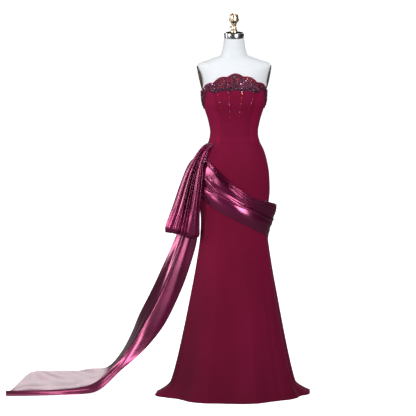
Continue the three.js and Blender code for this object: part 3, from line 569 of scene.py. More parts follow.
def crepePanel(name, node, columns, heightOf, rows, seamFrom, seamTo, reliefOf, material, restsOn):
    # heightOf(v, angle) gives the height of row v at an angle, seamFrom and seamTo an angle at a height
    half, waist = crepeCut["seamGap"] / 2, crepeCut["waist"]
    start, end = seamFrom(waist), seamTo(waist)
    u, v = np.meshgrid(seamPlaces(columns, np.radians(end - start) * crepeCut["waistRadius"]), rows)
    angle = mix(start, end, u)
    for _ in range(4):  # heights and angles settle against each other
        z = heightOf(v, angle)
        first = besideSeam(z, seamFrom(z), half)
        last = besideSeam(z, seamTo(z), -half)
        angle = mix(first, last, u)
    z = heightOf(v, angle)
    spanHere = np.radians(last - first) * (gownSide(z) + gownFront(z)) / 2
    fromSeam = np.minimum(u, 1 - u) * spanHere
    lift = besideSeamRelief(fromSeam, z) + reliefOf(z, angle, v)
    return clothPiece(
        name, gownPoint(z, angle, lift), crepeCut["thickness"], material, "hung", restsOn,
        slot="crepe", stands=(node,),
    )


def seamAt(angle):
    return lambda z: angle + 0 * z


# Skirt
skirtRows = np.concatenate([
    [0.6, 1.6, 3, 5, 7, 8.6, 9.6, 10.6, 11.8, 14, 18, 23, 29, 36, 44, 53, 63, 74, 86],
    np.linspace(98, 1190, 100),
    [1197, 1202, 1204.5, 1206.3, 1207.6, 1208.85],
])
# The hem's edge curls up a little where it flicks out at the side seams: angle, width, height.
hemCurls = [(89, 7, 15), (-92, 7, 14), (99, 5, 14)]
curlTop = 62
hipCreases = {"depth": 0.7, "height": 1110, "spread": 60, "angle": -60, "width": 38, "turns": 5, "climb": 0.9}


def skirtHeight(v, angle):
    z = np.interp(v, np.arange(len(skirtRows)), skirtRows)
    curl = sum(height * bell(turnFrom(angle, at) / width) for at, width, height in hemCurls)
    return z + curl * np.maximum(0, 1 - z / curlTop) ** 2


def skirtRelief(z, angle, v):
    look, creases = crepeCut, hipCreases
    fromHem = np.interp(v, np.arange(len(skirtRows)), skirtRows)
    hem = look["hemRidge"] * (1 - smoothStep(look["hemWidth"] - 1, look["hemWidth"] + 1, fromHem))
    stitchLine = -look["stitchDepth"] * bell((fromHem - look["hemWidth"]) / look["stitchWidth"])
    waistSeam = besideSeamRelief(look["waist"] - z, angle * 2)
    drape = foldDepth(z, angle, skirtRipples)
    slanting = np.sin(np.radians(angle * creases["turns"] + z * creases["climb"]))
    onHip = bell((z - creases["height"]) / creases["spread"])
    hip = creases["depth"] * onHip * slanting * bell(turnFrom(angle, creases["angle"]) / creases["width"])
    return hem + stitchLine + waistSeam + drape + hip


def makeSkirt():
    panels = [("front", 150, -90, 90), ("back_right", 84, 90, 180), ("back_left", 84, 180, 270)]
    for side, columns, first, last in panels:
        crepePanel(
            f"skirt_{side}_panel", "skirt_" + side, columns, skirtHeight, np.arange(len(skirtRows)),
            seamAt(first), seamAt(last), skirtRelief, crepe, ["bodice_centre_front_panel", "stand_base"],
        )


# Bodice
bodiceRows = seamPlaces(74, 260)
# Faint cross folds where the cloth is drawn in at the waist, stronger toward one side.
waistStrain = {"depth": 0.45, "pitch": 0.17, "lean": 0.02, "from": 1215, "height": 1247, "spread": 27,
               "angle": 60, "width": 45, "least": 0.4}
turnedEdge = {"rise": 0.35, "from": 0.965, "to": 0.985}


def bodiceHeight(v, angle):
    return mix(crepeCut["waist"] + crepeCut["seamGap"] / 2, necklineHeight(angle), v)


def bodiceRelief(z, angle, v):
    look = waistStrain
    waistSeam = besideSeamRelief(z - crepeCut["waist"], angle * 2)
    folds = np.sin((z - look["from"]) * look["pitch"] + look["lean"] * angle)
    where = bell((z - look["height"]) / look["spread"])
    stronger = mix(look["least"], 1.0, bell(turnFrom(angle, look["angle"]) / look["width"]))
    turned = turnedEdge["rise"] * smoothStep(turnedEdge["from"], turnedEdge["to"], v)
    return waistSeam + look["depth"] * folds * where * stronger + turned


def makeBodice():
    def leftSeam(z):
        return -princessAngle(z)

    panels = [
        ("centre_front", 84, leftSeam, princessAngle, crepe),
        ("side_front_right", 44, princessAngle, seamAt(90), crepeSidePaintedSheen),
        ("side_front_left", 44, seamAt(-90), leftSeam, crepeSidePaintedSheen),
        ("side_back_right", 40, seamAt(90), seamAt(135), crepeSidePaintedSheen),
        ("side_back_left", 40, seamAt(-135), seamAt(-90), crepeSidePaintedSheen),
        ("back_right", 40, seamAt(135), seamAt(180), crepe),
        ("back_left", 40, seamAt(-180), seamAt(-135), crepe),
    ]
    for part, columns, first, last, material in panels:
        crepePanel(
            f"bodice_{part}_panel", "bodice_" + part, columns, bodiceHeight, bodiceRows, first, last,
            bodiceRelief, material, ["covered_torso"],
        )


# Sash
# Lifts are from the skirt, and "front" and "back" are the angles where the pleats are deepest.
sash = {
    "thickness": 1.0,
    "pleatEdges": [0, 0.17, 0.36, 0.56, 0.77, 1.0],
    # amount, turns along and turns across, of the way in which the pleats wander
    "drift": [(0.024, 1.9, 9), (0.012, 4.3, -5)],
    "trough": 2.6, "slope": 2.2, "height": 9.6,
    "crest": 0.2, "foldEnd": 0.62,  # where along its width a pleat is highest, and where it is flat again
    "flattest": 0.12, "front": -16, "frontWidth": 42,
    "back": 190, "backWidth": 64, "backShare": 0.45,
    "atBow": 0.5, "bowFrom": -86, "bowTo": -66,  # flatter where they are gathered into the bow
    "rolledEdge": 1.2, "rolledWidth": 0.012,
    "tuck": 14, "tuckFrom": 6, "tuckTo": 22,  # how far the pleats go down under the band, and from where
}
# The band, folded at its upper edge, in shares of its width.
band = {
    "fold": 9.5, "belly": 6.5, "edge": 2.6,
    "crest": 2.6, "crestAt": 0.05, "crestWidth": 0.045,
    "roll": 5.0, "turned": 1.6, "edgeWidth": 0.014,
    "longFold": 1.4, "longTurns": 3.1, "longStart": 40,
    "shortFold": 1.0, "shortTurns": 7, "shortLean": 0.8,
    "drawn": 1.3, "drawnTurns": 17, "drawnLean": 0.03, "drawnFrom": 30, "drawnTo": 80,
}
# The smooth panel stands off where it comes out of the bow. Further on it rises to the band, sinks again
# behind it, and has one soft ridge across. Its first numbers: the last angle, and what its neighbours cover.
smoothPanel = {
    "to": 22.875, "under": 4, "behind": 8,
    "edge": 2.5, "belly": 12, "bellyFrom": -44, "bellyFull": -70,
    "rise": 5.5, "riseFrom": 0.42, "riseTo": 0.84, "sink": 0.75, "sinkFrom": 0.88, "sinkTo": 0.98,
    "ridge": 2.2, "ridgeAt": 0.55, "ridgeMiddle": -60, "ridgeLean": 0.006, "ridgeWidth": 0.09,
    "ridgeEnds": (-70, -52, -34, -10),
}
# Angle, then the heights of the upper edge, the foot of the pleats, the band's fold and the lower edge.
sashLines = [
    (-84, 1192, 1126, 1024, 952), (-66, 1176, 1119, 1013, 941), (-50, 1126, 1094, 999, 923),
    (-35, 1098, 1062, 984, 898), (-20, 1063, 1016, 962, 876), (-5, 1024, 975, 941, 856),
    (10, 989, 940, 919, 835), (25, 962, 909, 904, 814), (45, 940, 879, 875, 788), (65, 927, 858, 853, 766),
    (90, 903, 842, 837, 748), (112, 906, 848, 843, 752), (135, 934, 880, 875, 782),
    (180, 1010, 958, 953, 860), (225, 1092, 1038, 1033, 944), (258, 1142, 1088, 1083, 1006),
]
# The part that stands off the hip on the low side.
wing = {"reach": 37, "angle": 93, "spread": 23, "startsAt": 0.14, "endsAt": 0.84}
sashUpper, sashPleatEdge, sashBand, sashLower = (curveOf(sashLines, k) for k in (1, 2, 3, 4))


def sashPoint(z, angle, lift):
    down = (sashUpper(angle) - z) / (sashUpper(angle) - sashLower(angle))
    standing = 1 - smoothStep(wing["startsAt"], wing["endsAt"], down)
    out = wing["reach"] * standing * bell((angle - wing["angle"]) / wing["spread"])
    return gownPoint(z, angle, lift + out)


def sashSheet(name, node, angles, rows, topEdge, bottomEdge, liftOf):
    angle, t = np.meshgrid(angles, rows[::-1])  # rows run upwards
    z = mix(topEdge(angle), bottomEdge(angle), t)
    return clothPiece(
        name, sashPoint(z, angle, liftOf(t, angle, z)), sash["thickness"], satin, "draped",
        ["skirt_front_panel", "skirt_back_right_panel", "skirt_back_left_panel"],
        slot="satin", stands=(node,),
    )


def goneUnder(angle):
    # past the smooth part, the pleats go down under the band
    return smoothStep(sash["tuckFrom"], sash["tuckTo"], angle)


def pleatFoot(angle):
    return sashPleatEdge(angle) - sash["tuck"] * goneUnder(angle)


def pleatLift(t, angle, z):
    # each pleat: a rounded fold at its top edge, then a hollow that falls to the next one
    drift = sum(
        amount * np.sin(np.radians(angle * along) + across * t) for amount, along, across in sash["drift"]
    )
    place = np.clip(t + drift * np.sin(np.pi * t), 0, 1)
    edges = np.array(sash["pleatEdges"])
    i = np.clip(np.searchsorted(edges, place, side="right") - 1, 0, len(edges) - 2)
    s = (place - edges[i]) / (edges[i + 1] - edges[i])
    fold = smoothStep(0, sash["crest"], s) ** 0.8 * (1 - smoothStep(sash["crest"], sash["foldEnd"], s)) ** 1.3
    depth = mix(sash["flattest"], 1.0, bell((angle - sash["front"]) / sash["frontWidth"]))
    depth = depth + sash["backShare"] * bell((angle - sash["back"]) / sash["backWidth"])
    gathered = mix(sash["atBow"], 1.0, smoothStep(sash["bowFrom"], sash["bowTo"], angle))
    rolled = -sash["rolledEdge"] * bell(t / sash["rolledWidth"])
    under = smoothStep(sashBand(angle) + 5, sashBand(angle) - 1, z) * goneUnder(angle)
    lift = sash["trough"] + sash["slope"] * t + sash["height"] * fold * depth * gathered + rolled
    return mix(lift, sash["trough"], under)


def bandLift(t, angle, z):
    fold = mix(band["fold"], band["edge"], smoothStep(0, 1, t))
    across = np.sin(np.pi * np.clip(t, 0, 1))
    crest = band["crest"] * bell((t - band["crestAt"]) / band["crestWidth"])
    rolled = -band["roll"] * bell(t / band["edgeWidth"]) - band["turned"] * bell((1 - t) / band["edgeWidth"])
    long = band["longFold"] * np.sin(np.radians(angle * band["longTurns"] + band["longStart"])) * across
    short = band["shortFold"] * np.sin(np.radians(angle * band["shortTurns"] + z * band["shortLean"]))
    drawn = band["drawn"] * np.sin(t * band["drawnTurns"] + angle * band["drawnLean"]) * across
    drawn = drawn * smoothStep(band["drawnFrom"], band["drawnTo"], angle)
    return fold + band["belly"] * across**1.2 + crest + rolled + long + short * across**2 + drawn


def panelLift(t, angle, z):
    look = smoothPanel
    left = smoothStep(look["bellyFrom"], look["bellyFull"], angle)
    belly = look["belly"] * np.sin(np.pi * np.clip(t * 0.9 + 0.05, 0, 1)) ** 1.3 * left
    sunk = 1 - look["sink"] * smoothStep(look["sinkFrom"], look["sinkTo"], t)
    rise = look["rise"] * smoothStep(look["riseFrom"], look["riseTo"], t) * sunk * (1 - left)
    start, full, fading, end = look["ridgeEnds"]
    middle = look["ridgeAt"] + look["ridgeLean"] * (angle - look["ridgeMiddle"])
    ridge = look["ridge"] * bell((t - middle) / look["ridgeWidth"])
    ridge = ridge * smoothStep(start, full, angle) * smoothStep(end, fading, angle)
    return look["edge"] + belly + rise + ridge


def makeSash():
    start, end = sashLines[0][0], sashLines[-1][0]
    around = evenly(260, start, end)

    def underPleats(angle):
        return sashPleatEdge(angle) + smoothPanel["under"]

    def behindBand(angle):
        return sashBand(angle) - smoothPanel["behind"]

    edgeRows = [0, 0.006, 0.014, 0.026, 0.042]
    pleatRows = np.concatenate([edgeRows, evenly(86, 0.055, 1)])
    bandRows = np.concatenate([edgeRows, evenly(30, 0.06, 0.96), [0.972, 0.984, 0.993, 1]])
    smooth = evenly(100, start, smoothPanel["to"])
    sashSheet("sash_pleated_part", "sash_upper_pleats", around, pleatRows, sashUpper, pleatFoot, pleatLift)
    sashSheet("sash_smooth_part", "sash_middle_panel", smooth, evenly(36), underPleats, behindBand, panelLift)
    sashSheet("sash_folded_band", "sash_lower_band", around, bandRows, sashBand, sashLower, bandLift)


# Bow
# Front rows, from the waist down: height, left, right, and how far forward each side lies.
bow = {
    "front": [
        (1204, -110, -95, -50, -60), (1197, -139, -107, -42, -62), (1177, -164, -127, -37, -66),
        (1127, -198, -146, -34, -70), (1076, -227, -151, -31, -76), (1013, -252, -155, -29, -80),
        (945, -274, -162, -27, -77), (878, -297, -166, -26, -70), (806, -327, -166, -24, -66),
    ],
    "back": [
        (815, -320, -178, 12), (900, -288, -180, 13), (1000, -254, -184, 13), (1100, -212, -180, 11),
        (1152, -160, -150, 4),
    ],
    "bottom": [(0, 778), (0.3, 772), (0.52, 762), (0.78, 749), (1, 757)],
    # across from the outer edge to the hip, width, relief at the bottom
    "pleats": [
        (0.02, 0.02, 4), (0.105, 0.075, 9), (0.205, 0.016, -6), (0.285, 0.055, 9), (0.345, 0.014, -3),
        (0.415, 0.027, -20), (0.468, 0.02, 9), (0.51, 0.013, -6), (0.55, 0.02, 6), (0.60, 0.014, -7),
        (0.735, 0.10, 6), (0.80, 0.018, -3), (0.892, 0.02, -7), (0.952, 0.03, 9),
    ],
    "topRelief": 0.16,  # the pleats at the hip, as a share of the relief at the bottom
    "puff": 15,
    "hemSoftness": 0.45,  # how much flatter the pleats are along the bottom
    "seat": 2.4,
    "seatedTo": 0.25,  # the share of the front that lies on the gown
    "backShare": 0.3,
    "thickness": 1.0,
}
bowBottom = curveOf(bow["bottom"])


def bowRelief(u, grown):
    return grown * sum(depth * bell((u - across) / width) for across, width, depth in bow["pleats"])


def bowFrontPoints(u, f):
    rows = flowThrough(bow["front"], f)
    z, left, right, leftY, rightY = (rows[:, k, None] for k in range(5))
    f = np.asarray(f)[:, None]
    x = mix(left, right, u)
    softened = 1 - bow["hemSoftness"] * smoothStep(0.72, 1.0, f)
    relief = mix(bow["topRelief"], 1.0, f**0.75) * smoothStep(0, 0.3, f) * softened
    free = mix(leftY, rightY, u) - bow["puff"] * np.sin(np.pi * u) * f - bowRelief(u, relief)
    across = np.minimum(np.abs(x) / gownSide(z), 1)
    onHip = 0.25 * bowRelief(u, bow["topRelief"] + 0 * f)
    seated = -gownFront(z) * np.sqrt(1 - across**2) - bow["seat"] - onHip
    z = z + (bowBottom(u) - bowBottom(0)) * f**2
    return np.stack([x, mix(seated, free, smoothStep(0, bow["seatedTo"], f)), z], axis=-1)


def bowBackPoints(u, f):
    rows = flowThrough(bow["back"], f)
    z, left, right, y = (rows[:, k, None] for k in range(4))
    f = np.asarray(f)[:, None]
    z = z + (bowBottom(u) - bowBottom(0)) * (1 - f) ** 2
    return np.stack([mix(left, right, u), y + 0 * u - bow["backShare"] * bowRelief(u, 1 - f), z], axis=-1)


def makeBow():
    u = evenly(170)[None, :]
    front = bowFrontPoints(u, evenly(92))
    back = bowBackPoints(u, evenly(40))
    turn = evenly(22)[1:-1, None, None]
    middle = (1 - np.cos(np.pi * turn)) / 2
    bottom = mix(front[-1][None], back[0][None], middle)
    bottom[..., 2] -= (bottom[..., 2] - bowBottom(u)) * np.sin(np.pi * turn[..., 0])
    grid = np.concatenate([front, bottom, back])
    return clothPiece(
        "bow_loop_pleated", grid, bow["thickness"], satin, "gathered", ["skirt_front_panel"], flip=True,
        slot="satin", stands=("bow_loop",),
    )


# Trailing end of the sash
# At each station its lengthwise fold, its far edge and its near edge, and how suddenly it falls away behind.
trail = {
    "stations": [
        ((-186, 34, 1078), (-184, 54, 1074), (-181, 20, 1082), 1),
        ((-200, 35, 945), (-202, 62, 940), (-184, 22, 950), 1),
        ((-221, 35, 842), (-238, 66, 835), (-180, 26, 850), 1),
        ((-236, 34, 748), (-270, 72, 745), (-171, 27, 741), 1),
        ((-292, 38, 588), (-334, 122, 583), (-213, 23, 588), 1),
        ((-342, 44, 468), (-379, 172, 470), (-259, 21, 469), 1),
        ((-410, 53, 342), (-431, 255, 342), (-321, 21, 342), 1.2),
        ((-466, 62, 250), (-462, 335, 240), (-384, 26, 254), 1.5),
        ((-530, 69, 165), (-505, 440, 128), (-447, 30, 187), 2.2),
        ((-590, 75, 102), (-562, 540, 40), (-536, 31, 110), 4),
        ((-650, 76, 52), (-640, 600, 14), (-632, 34, 22), 9),
        ((-722, 62, 31), (-725, 618, 3), (-718, 36, 1.2), 20),
        ((-841, 42, 24), (-826, 620, 1.2), (-841, 18, 1.2), 26),
        ((-963, 34, 22), (-890, 620, 1.2), (-963, 11, 1.2), 26),
        ((-1076, 36, 22), (-928, 618, 1.2), (-1076, 13, 1.2), 26),
    ],
    "top": {"z": 1196, "far": -104, "near": -99, "seat": 2.1},
    # depth, waves from edge to edge, how far they wander and how often on the way down
    "ripples": (1.6, 21, 3, 7), "ripplesFrom": 0.1, "ripplesFull": 0.3,
    "gathers": (2.4, 27, 1.5, 19), "gathersFrom": 0.08, "gathersTo": 0.3,
    "waves": 4.0, "wavesFrom": 0.6, "wavesFull": 0.8,  # of the part that lies on the floor
    "sag": 5,
    "thickness": 1.0,
    "floor": 0.9,
}


def trailSection(fold, far, near, drop):
    q = evenly(44)[::-1] ** 1.7  # from the far edge to the fold, closer together near it
    toFar = mix(fold[:, None], far[:, None], q[None, :, None])
    toFar[..., 2] = far[:, 2:] + (fold[:, 2:] - far[:, 2:]) * (1 - q[None]) ** drop[:, None]
    q = evenly(26)[1:]
    toNear = mix(fold[:, None], near[:, None], q[None, :, None])
    toNear[..., 1] -= trail["sag"] * np.sin(np.pi * q)
    return np.concatenate([toFar, toNear], axis=1)


def trailLead(firstSection):
    # from the seat at the waist down to the first station
    top = trail["top"]
    angles = (mix(top["far"], top["near"], 0.5), top["far"], top["near"])
    sewn = trailSection(*(gownPoint(top["z"], angle, top["seat"])[None] for angle in angles), np.ones(1))
    return np.concatenate([mix(sewn, firstSection, k) for k in (0, 0.2, 0.4, 0.6, 0.8)])


def trailRipple(down, across):
    # soft lengthwise ripples below, and gathers near the bow
    def wavy(depth, waves, wander, often):
        return depth * np.sin(across * waves + wander * np.sin(down * often))

    middle = np.sin(np.pi * across)
    falling = smoothStep(trail["ripplesFrom"], trail["ripplesFull"], down) * middle
    gathered = smoothStep(0, 0.02, down) * (1 - smoothStep(trail["gathersFrom"], trail["gathersTo"], down))
    return wavy(*trail["ripples"]) * falling + wavy(*trail["gathers"]) * gathered * middle**0.5


def trailWaves(down, across):
    onFloor = smoothStep(trail["wavesFrom"], trail["wavesFull"], down) * (1 - smoothStep(0.5, 0.62, across))
    rows = np.sin(down * 46 + across * 5 + 2 * np.sin(across * 9)) * np.sin(across * 8 + down * 11)
    return trail["waves"] * onFloor * (1 + rows)


def makeTrail():
    stations = trail["stations"]
    t = evenly(220)
    fold, far, near = (flowThrough([row[k] for row in stations], t) for k in range(3))
    drop = curveOf([(i, row[3]) for i, row in enumerate(stations)])(t * (len(stations) - 1))
    grid = trailSection(fold, far, near, drop)
    grid = np.concatenate([trailLead(grid[:1]), grid])
    down = evenly(grid.shape[0] - 1)[:, None]
    across = evenly(grid.shape[1] - 1)[None]
    grid = grid - gridNormals(grid) * trailRipple(down, across)[..., None]
    grid[..., 2] = np.maximum(grid[..., 2] + trailWaves(down, across), trail["floor"])
    return clothPiece(
        "sash_trailing_end", grid, trail["thickness"], satin, "draped", ["skirt_back_left_panel"], flip=True,
        slot="satin", stands=("sash_train",),
    )


makeSkirt()
makeBodice()
print("crepe panels made")
makeSash()
makeBow()
makeTrail()
print("satin made")

# Beadwork
beading = {
    "seed": 11,
    "spacing": 3.0,
    "netLift": 2.0,
    "netThickness": 0.8,
    "embroidery": 0.22,
    "topInset": 1.5,
    "topRoom": 2.4,  # no strewn bead is nearer to the upper edge of the net
    "radius": 128, "edgeRadius": 140,  # of the figure, for spaces between the strewn beads and along the rows
    "lobes": 2.2, "lobeTurns": 9.5, "lobeLift": 1.0,
    "rowLift": 3.1, "rowLean": 2.3, "rowClear": 3,
    "stoneLift": 3.5, "stoneRoom": 6,
    "edge": [
        (0, 1467), (25, 1462), (44, 1451), (52, 1462), (61, 1448), (70, 1405), (82, 1366), (98, 1362),
        (118, 1380), (145, 1374), (180, 1368),
    ],
    "stretches": [("front", -47, 47), ("right", 47.2, 177.2), ("left", -177.2, -47.2)],
    # how full the net is: up to the first height, up to the second one in patches, and above it
    "borderTo": 0.24, "patchesTo": 0.74, "borderFull": 0.97, "patchesFull": (0.52, 0.88), "topFull": 0.34,
    # how uneven the strewn beads are: to the side, in degrees; up, in spaces; leaning, in radians
    "aside": 0.55, "upward": 0.28, "leaning": 0.3,
    "tones": (0.75, 1.35), "rowTones": (0.8, 1.3), "borderTones": (0.8, 1.5),  # darkest and brightest
    "piping": {"radius": 1.25, "lift": 1.4, "above": 0.4},
}
# The strewn beads: their share, smallest and largest half width, and lift.
strewnBeads = {
    "seed": (0.66, 1.05, 1.5, 2.75), "sequin": (0.22, 1.7, 2.3, 2.9), "bugle": (0.12, 0.75, 0.95, 2.7),
}
# Rows under the scallops: inset, bead, step, half width, colours in turn.
scallopRows = [
    (1.6, "seed", 2.3, 1.1, ["burgundy", "red", "burgundy"]),
    (6.5, "bugle", 4.4, 0.8, ["plum", "burgundy", "navy"]),
    (12.5, "seed", 2.8, 1.2, ["plum", "navy"]),
]
# Rows along the lower border: how far above it, and colours in turn.
borderRows = [(0.6, ["navy", "black", "plum"]), (4.2, ["plum", "navy"])]
borderBead = {"step": 2.9, "size": 1.35, "lift": 2.9}
# Rings of sequins round every third stone.
flowers = {"every": 3, "petals": 7, "away": 2.3, "size": 2.1, "lift": 3.3, "tilt": 0.35, "bright": 1.5}
glassColours = {
    "navy": (0.010, 0.012, 0.05), "plum": (0.075, 0.007, 0.05), "black": (0.008, 0.012, 0.014),
    "grey": (0.26, 0.27, 0.33), "lilac": (0.33, 0.25, 0.46), "burgundy": (0.17, 0.004, 0.03),
    "red": (0.74, 0.014, 0.014), "pink": (0.85, 0.34, 0.47), "white": (0.9, 0.86, 0.9),
    "orange": (0.85, 0.13, 0.03), "silver": (0.62, 0.62, 0.70),
}
# How the colours are mixed, from the lower border to the neckline.
glassMixes = [
    (0.24, {"navy": 28, "plum": 42, "black": 14, "grey": 3, "burgundy": 13}),
    (0.7, {"plum": 25, "navy": 9, "burgundy": 46, "grey": 3, "lilac": 3, "red": 11, "pink": 3}),
    (1.01, {"burgundy": 50, "red": 37, "plum": 9, "pink": 4}),
]
# Larger stones on the front: angle, height, colour, width.
frontStones = [
    (-2.2, 1528, "white", 7), (-0.4, 1516, "pink", 5), (27, 1508, "pink", 5), (-41.7, 1490, "lilac", 6.5),
    (-37, 1491, "lilac", 5), (-9.8, 1520.7, "lilac", 5), (-13, 1490, "lilac", 5),
    (-21.6, 1475, "lilac", 6.5), (8.6, 1494.4, "lilac", 6.5), (12.1, 1511.4, "lilac", 5),
    (21, 1474, "lilac", 6.5), (40.6, 1486, "lilac", 5.5), (34.8, 1474.7, "lilac", 5.5),
    (11.7, 1492, "black", 6), (-29, 1512, "grey", 5), (-19, 1513, "grey", 5), (-31, 1471.6, "grey", 6),
    (17.2, 1507.7, "grey", 5.5), (19.8, 1515, "orange", 5), (-5, 1478, "grey", 5), (3, 1474, "plum", 5.5),
    (27.5, 1490, "grey", 4.5), (-2, 1499, "plum", 5),
]
# The same for the right side, mirrored to the left.
sideStones = [
    (53, 1483, "pink", 5), (61.8, 1466, "grey", 6), (70, 1447, "navy", 6), (78, 1428, "grey", 5.5),
    (84, 1404, "plum", 6), (92, 1425, "lilac", 5), (74, 1408, "black", 6), (88, 1380, "grey", 5.5),
    (104, 1404, "plum", 5.5), (112, 1393, "lilac", 5), (128, 1398, "grey", 5.5), (140, 1386, "navy", 6),
    (152, 1392, "pink", 5), (166, 1384, "grey", 5.5), (99, 1376, "navy", 5.5), (121, 1406, "pink", 4.5),
]
# Each line of beads down the front: its ends, its stones from the top, the small accents below them, and
# how close the beads between them are.
beadLines = [
    {
        "from": (-32, 1456), "to": (-25.7, 1364), "close": 0.45,
        "heads": [(-34.0, 1457.5, "pink", 5.5), (-31.4, 1458, "black", 6)],
        "accents": {1440: "red", 1408: "pink", 1380: "red", 1366: "red"},
    },
    {
        "from": (-11.8, 1458), "to": (-10.8, 1326), "close": 0.95,
        "heads": [(-12.7, 1457.5, "silver", 6.5), (-10.2, 1457, "black", 5.5)],
        "accents": {1433: "orange", 1406: "lilac", 1397: "lilac", 1386: "red", 1365: "grey", 1332: "red"},
    },
    {
        "from": (10.8, 1457), "to": (6.8, 1326), "close": 0.75,
        "heads": [(10.4, 1458, "grey", 6), (10.5, 1449.5, "orange", 6)],
        "accents": {1429: "orange", 1401: "grey", 1361: "pink", 1342: "red"},
    },
    {
        "from": (33, 1450), "to": (24.2, 1368), "close": 0.4,
        "heads": [(31.7, 1454, "silver", 6), (34.2, 1452.5, "black", 6)],
        "accents": {1422: "pink", 1410: "red", 1402: "pink", 1388: "red", 1374: "red"},
    },
]
lineBeads = {
    "start": 7, "step": 4.6, "clear": 3.4,  # below the line's top, between beads, and from an accent
    "lift": 1.9, "bugle": 1.0, "seed": 1.6,
    "accent": 2.5, "accentLift": 2.3, "drop": 1.5, "dropBelow": 4.0, "headLift": 3.6,
}
beadworkLow = curveOf(beading["edge"])
dice = np.random.default_rng(beading["seed"])


def latheShape(profile, sides, offsets=None):
    # a small closed shape turned about its own z: rows of (radius, height), first and last on the axis
    offsets = offsets or [0] * len(profile)
    points, rings = [], []
    for (r, z), offset in zip(profile, offsets):
        count = 1 if r == 0 else sides
        turn = (np.arange(count) + offset) * 2 * math.pi / sides
        rings.append(np.arange(count) + sum(len(p) for p in points))
        points.append(np.stack([r * np.cos(turn), r * np.sin(turn), np.full(count, z)], axis=1))
    faces = []
    for low, high in zip(rings[:-1], rings[1:]):
        for k in range(sides):
            n = (k + 1) % sides
            if len(low) == 1:
                faces.append([low[0], high[n], high[k]])
            elif len(high) == 1:
                faces.append([low[k], low[n], high[0]])
            else:
                faces.append([low[k], low[n], high[n], high[k]])
    return np.concatenate(points), [[int(x) for x in face] for face in faces]


def lyingDown(shape):
    points, faces = shape
    return points[:, [2, 1, 0]], [face[::-1] for face in faces]


beadShapes = {
    "seed": latheShape([(0, -0.62), (0.74, -0.42), (1, 0.1), (0.72, 0.56), (0, 0.72)], 8),
    "bugle": lyingDown(latheShape([(0, -1.5), (0.8, -1.5), (0.8, 1.5), (0, 1.5)], 6)),
    "sequin": latheShape([(0, -0.16), (1, 0.02), (1, 0.12), (0, -0.04)], 9),
    "stone": latheShape([(0, -0.5), (0.9, 0.0), (1, 0.18), (0.62, 0.62), (0, 0.62)], 8, [0, 0, 0, 0.5, 0]),
}


def strewBeads(name, beads, material, sharp, stands, slot):
    # beads: shape, angle, height, lift, half width, turn in the plane, tilt, colour
    vertices, faces, tints, start = [], [], [], 0
    for shape in sorted({bead[0] for bead in beads}):
        rows = [bead for bead in beads if bead[0] == shape]
        angle, z, lift, size, turn, tilt = (np.array([row[k] for row in rows], float) for k in range(1, 7))
        middle = gownPoint(z, angle, lift)
        along = unit(gownPoint(z, angle + 0.2, lift) - gownPoint(z, angle - 0.2, lift))
        normal = unit(np.cross(along, gownPoint(z + 1, angle, lift) - gownPoint(z - 1, angle, lift)))
        up = np.cross(normal, along)
        first = along * np.cos(turn)[:, None] + up * np.sin(turn)[:, None]
        second = np.cross(normal, first)
        leaning = unit(normal + second * np.tan(tilt)[:, None])
        second = np.cross(leaning, first)
        points, shapeFaces = beadShapes[shape]
        axes = np.stack([first, second, leaning], axis=1) * size[:, None, None]
        placed = middle[:, None] + points @ axes
        vertices.append(placed.reshape(-1, 3))
        offsets = start + len(points) * np.arange(len(rows))
        for face in shapeFaces:
            faces += (offsets[:, None] + np.array(face)[None]).tolist()
        tints.append(np.repeat(np.array([(*row[7], 1) for row in rows]), len(points), axis=0))
        start += placed.shape[0] * placed.shape[1]
    piece = newPiece(
        name, np.concatenate(vertices) * milli, faces, material, slot=slot, stands=stands, sharp=sharp,
    )
    layer = piece.data.color_attributes.new("tint", "FLOAT_COLOR", "POINT")
    layer.data.foreach_set("color", np.concatenate(tints).astype(np.float32).ravel())
    return piece


def pickColour(v):
    weights = next(chosen for top, chosen in glassMixes if v < top)
    share = np.array(list(weights.values()), float)
    chosen = list(weights)[dice.choice(len(share), p=share / share.sum())]
    return tuple(np.minimum(toneOf(chosen, beading["tones"]), 1))


def toneOf(colour, tones):
    return tuple(np.array(glassColours[colour]) * dice.uniform(*tones))


def within(most):
    return dice.uniform(-most, most)


def lobedLow(angle):
    # the lower border of the net, in small lobes
    lobes = beading["lobes"] * np.abs(np.sin(np.radians(angle * beading["lobeTurns"])))
    return beadworkLow(np.abs(turnFrom(angle, 0))) - lobes + beading["lobeLift"]


def fullness(v, z, angle):
    # the middle of the net is fuller in some patches than in others
    patch = math.sin(angle * 0.42 + 1.6 * math.sin(z * 0.13)) * math.sin(z * 0.23 + angle * 0.17)
    if v < beading["borderTo"]:
        return beading["borderFull"]
    return mix(*beading["patchesFull"], 0.5 + 0.5 * patch) if v < beading["patchesTo"] else beading["topFull"]


def strewnBetween(first, last):
    beads, spacing = [], beading["spacing"]
    columns = int(abs(np.radians(last - first)) * beading["radius"] / spacing)
    for column in range(columns):
        angle = mix(first, last, (column + 0.5) / columns)
        low = float(lobedLow(angle))
        top = float(necklineHeight(angle)) - beading["topInset"] - beading["topRoom"]
        count = int((top - low) / spacing)
        for row in range(count):
            v = (row + 0.5) / count
            here = angle + within(beading["aside"])
            z = low + (row + 0.5 + 0.5 * (column % 2) + within(beading["upward"])) * spacing
            if z > top or dice.random() > fullness(v, z, here):
                continue
            kind = dice.choice(list(strewnBeads), p=[share for share, *_ in strewnBeads.values()])
            sizes = {name: dice.uniform(least, most) for name, (_, least, most, _) in strewnBeads.items()}
            lift = strewnBeads[kind][3]
            turn, tilt = dice.uniform(0, 6.28), within(beading["leaning"])
            beads.append((kind, here, z, lift, sizes[kind], turn, tilt, pickColour(v)))
    return beads


def anglesAlong(first, last, step):
    length = abs(np.radians(last - first)) * beading["edgeRadius"]
    return [mix(first, last, (k + 0.5) * step / length) for k in range(int(length / step))]


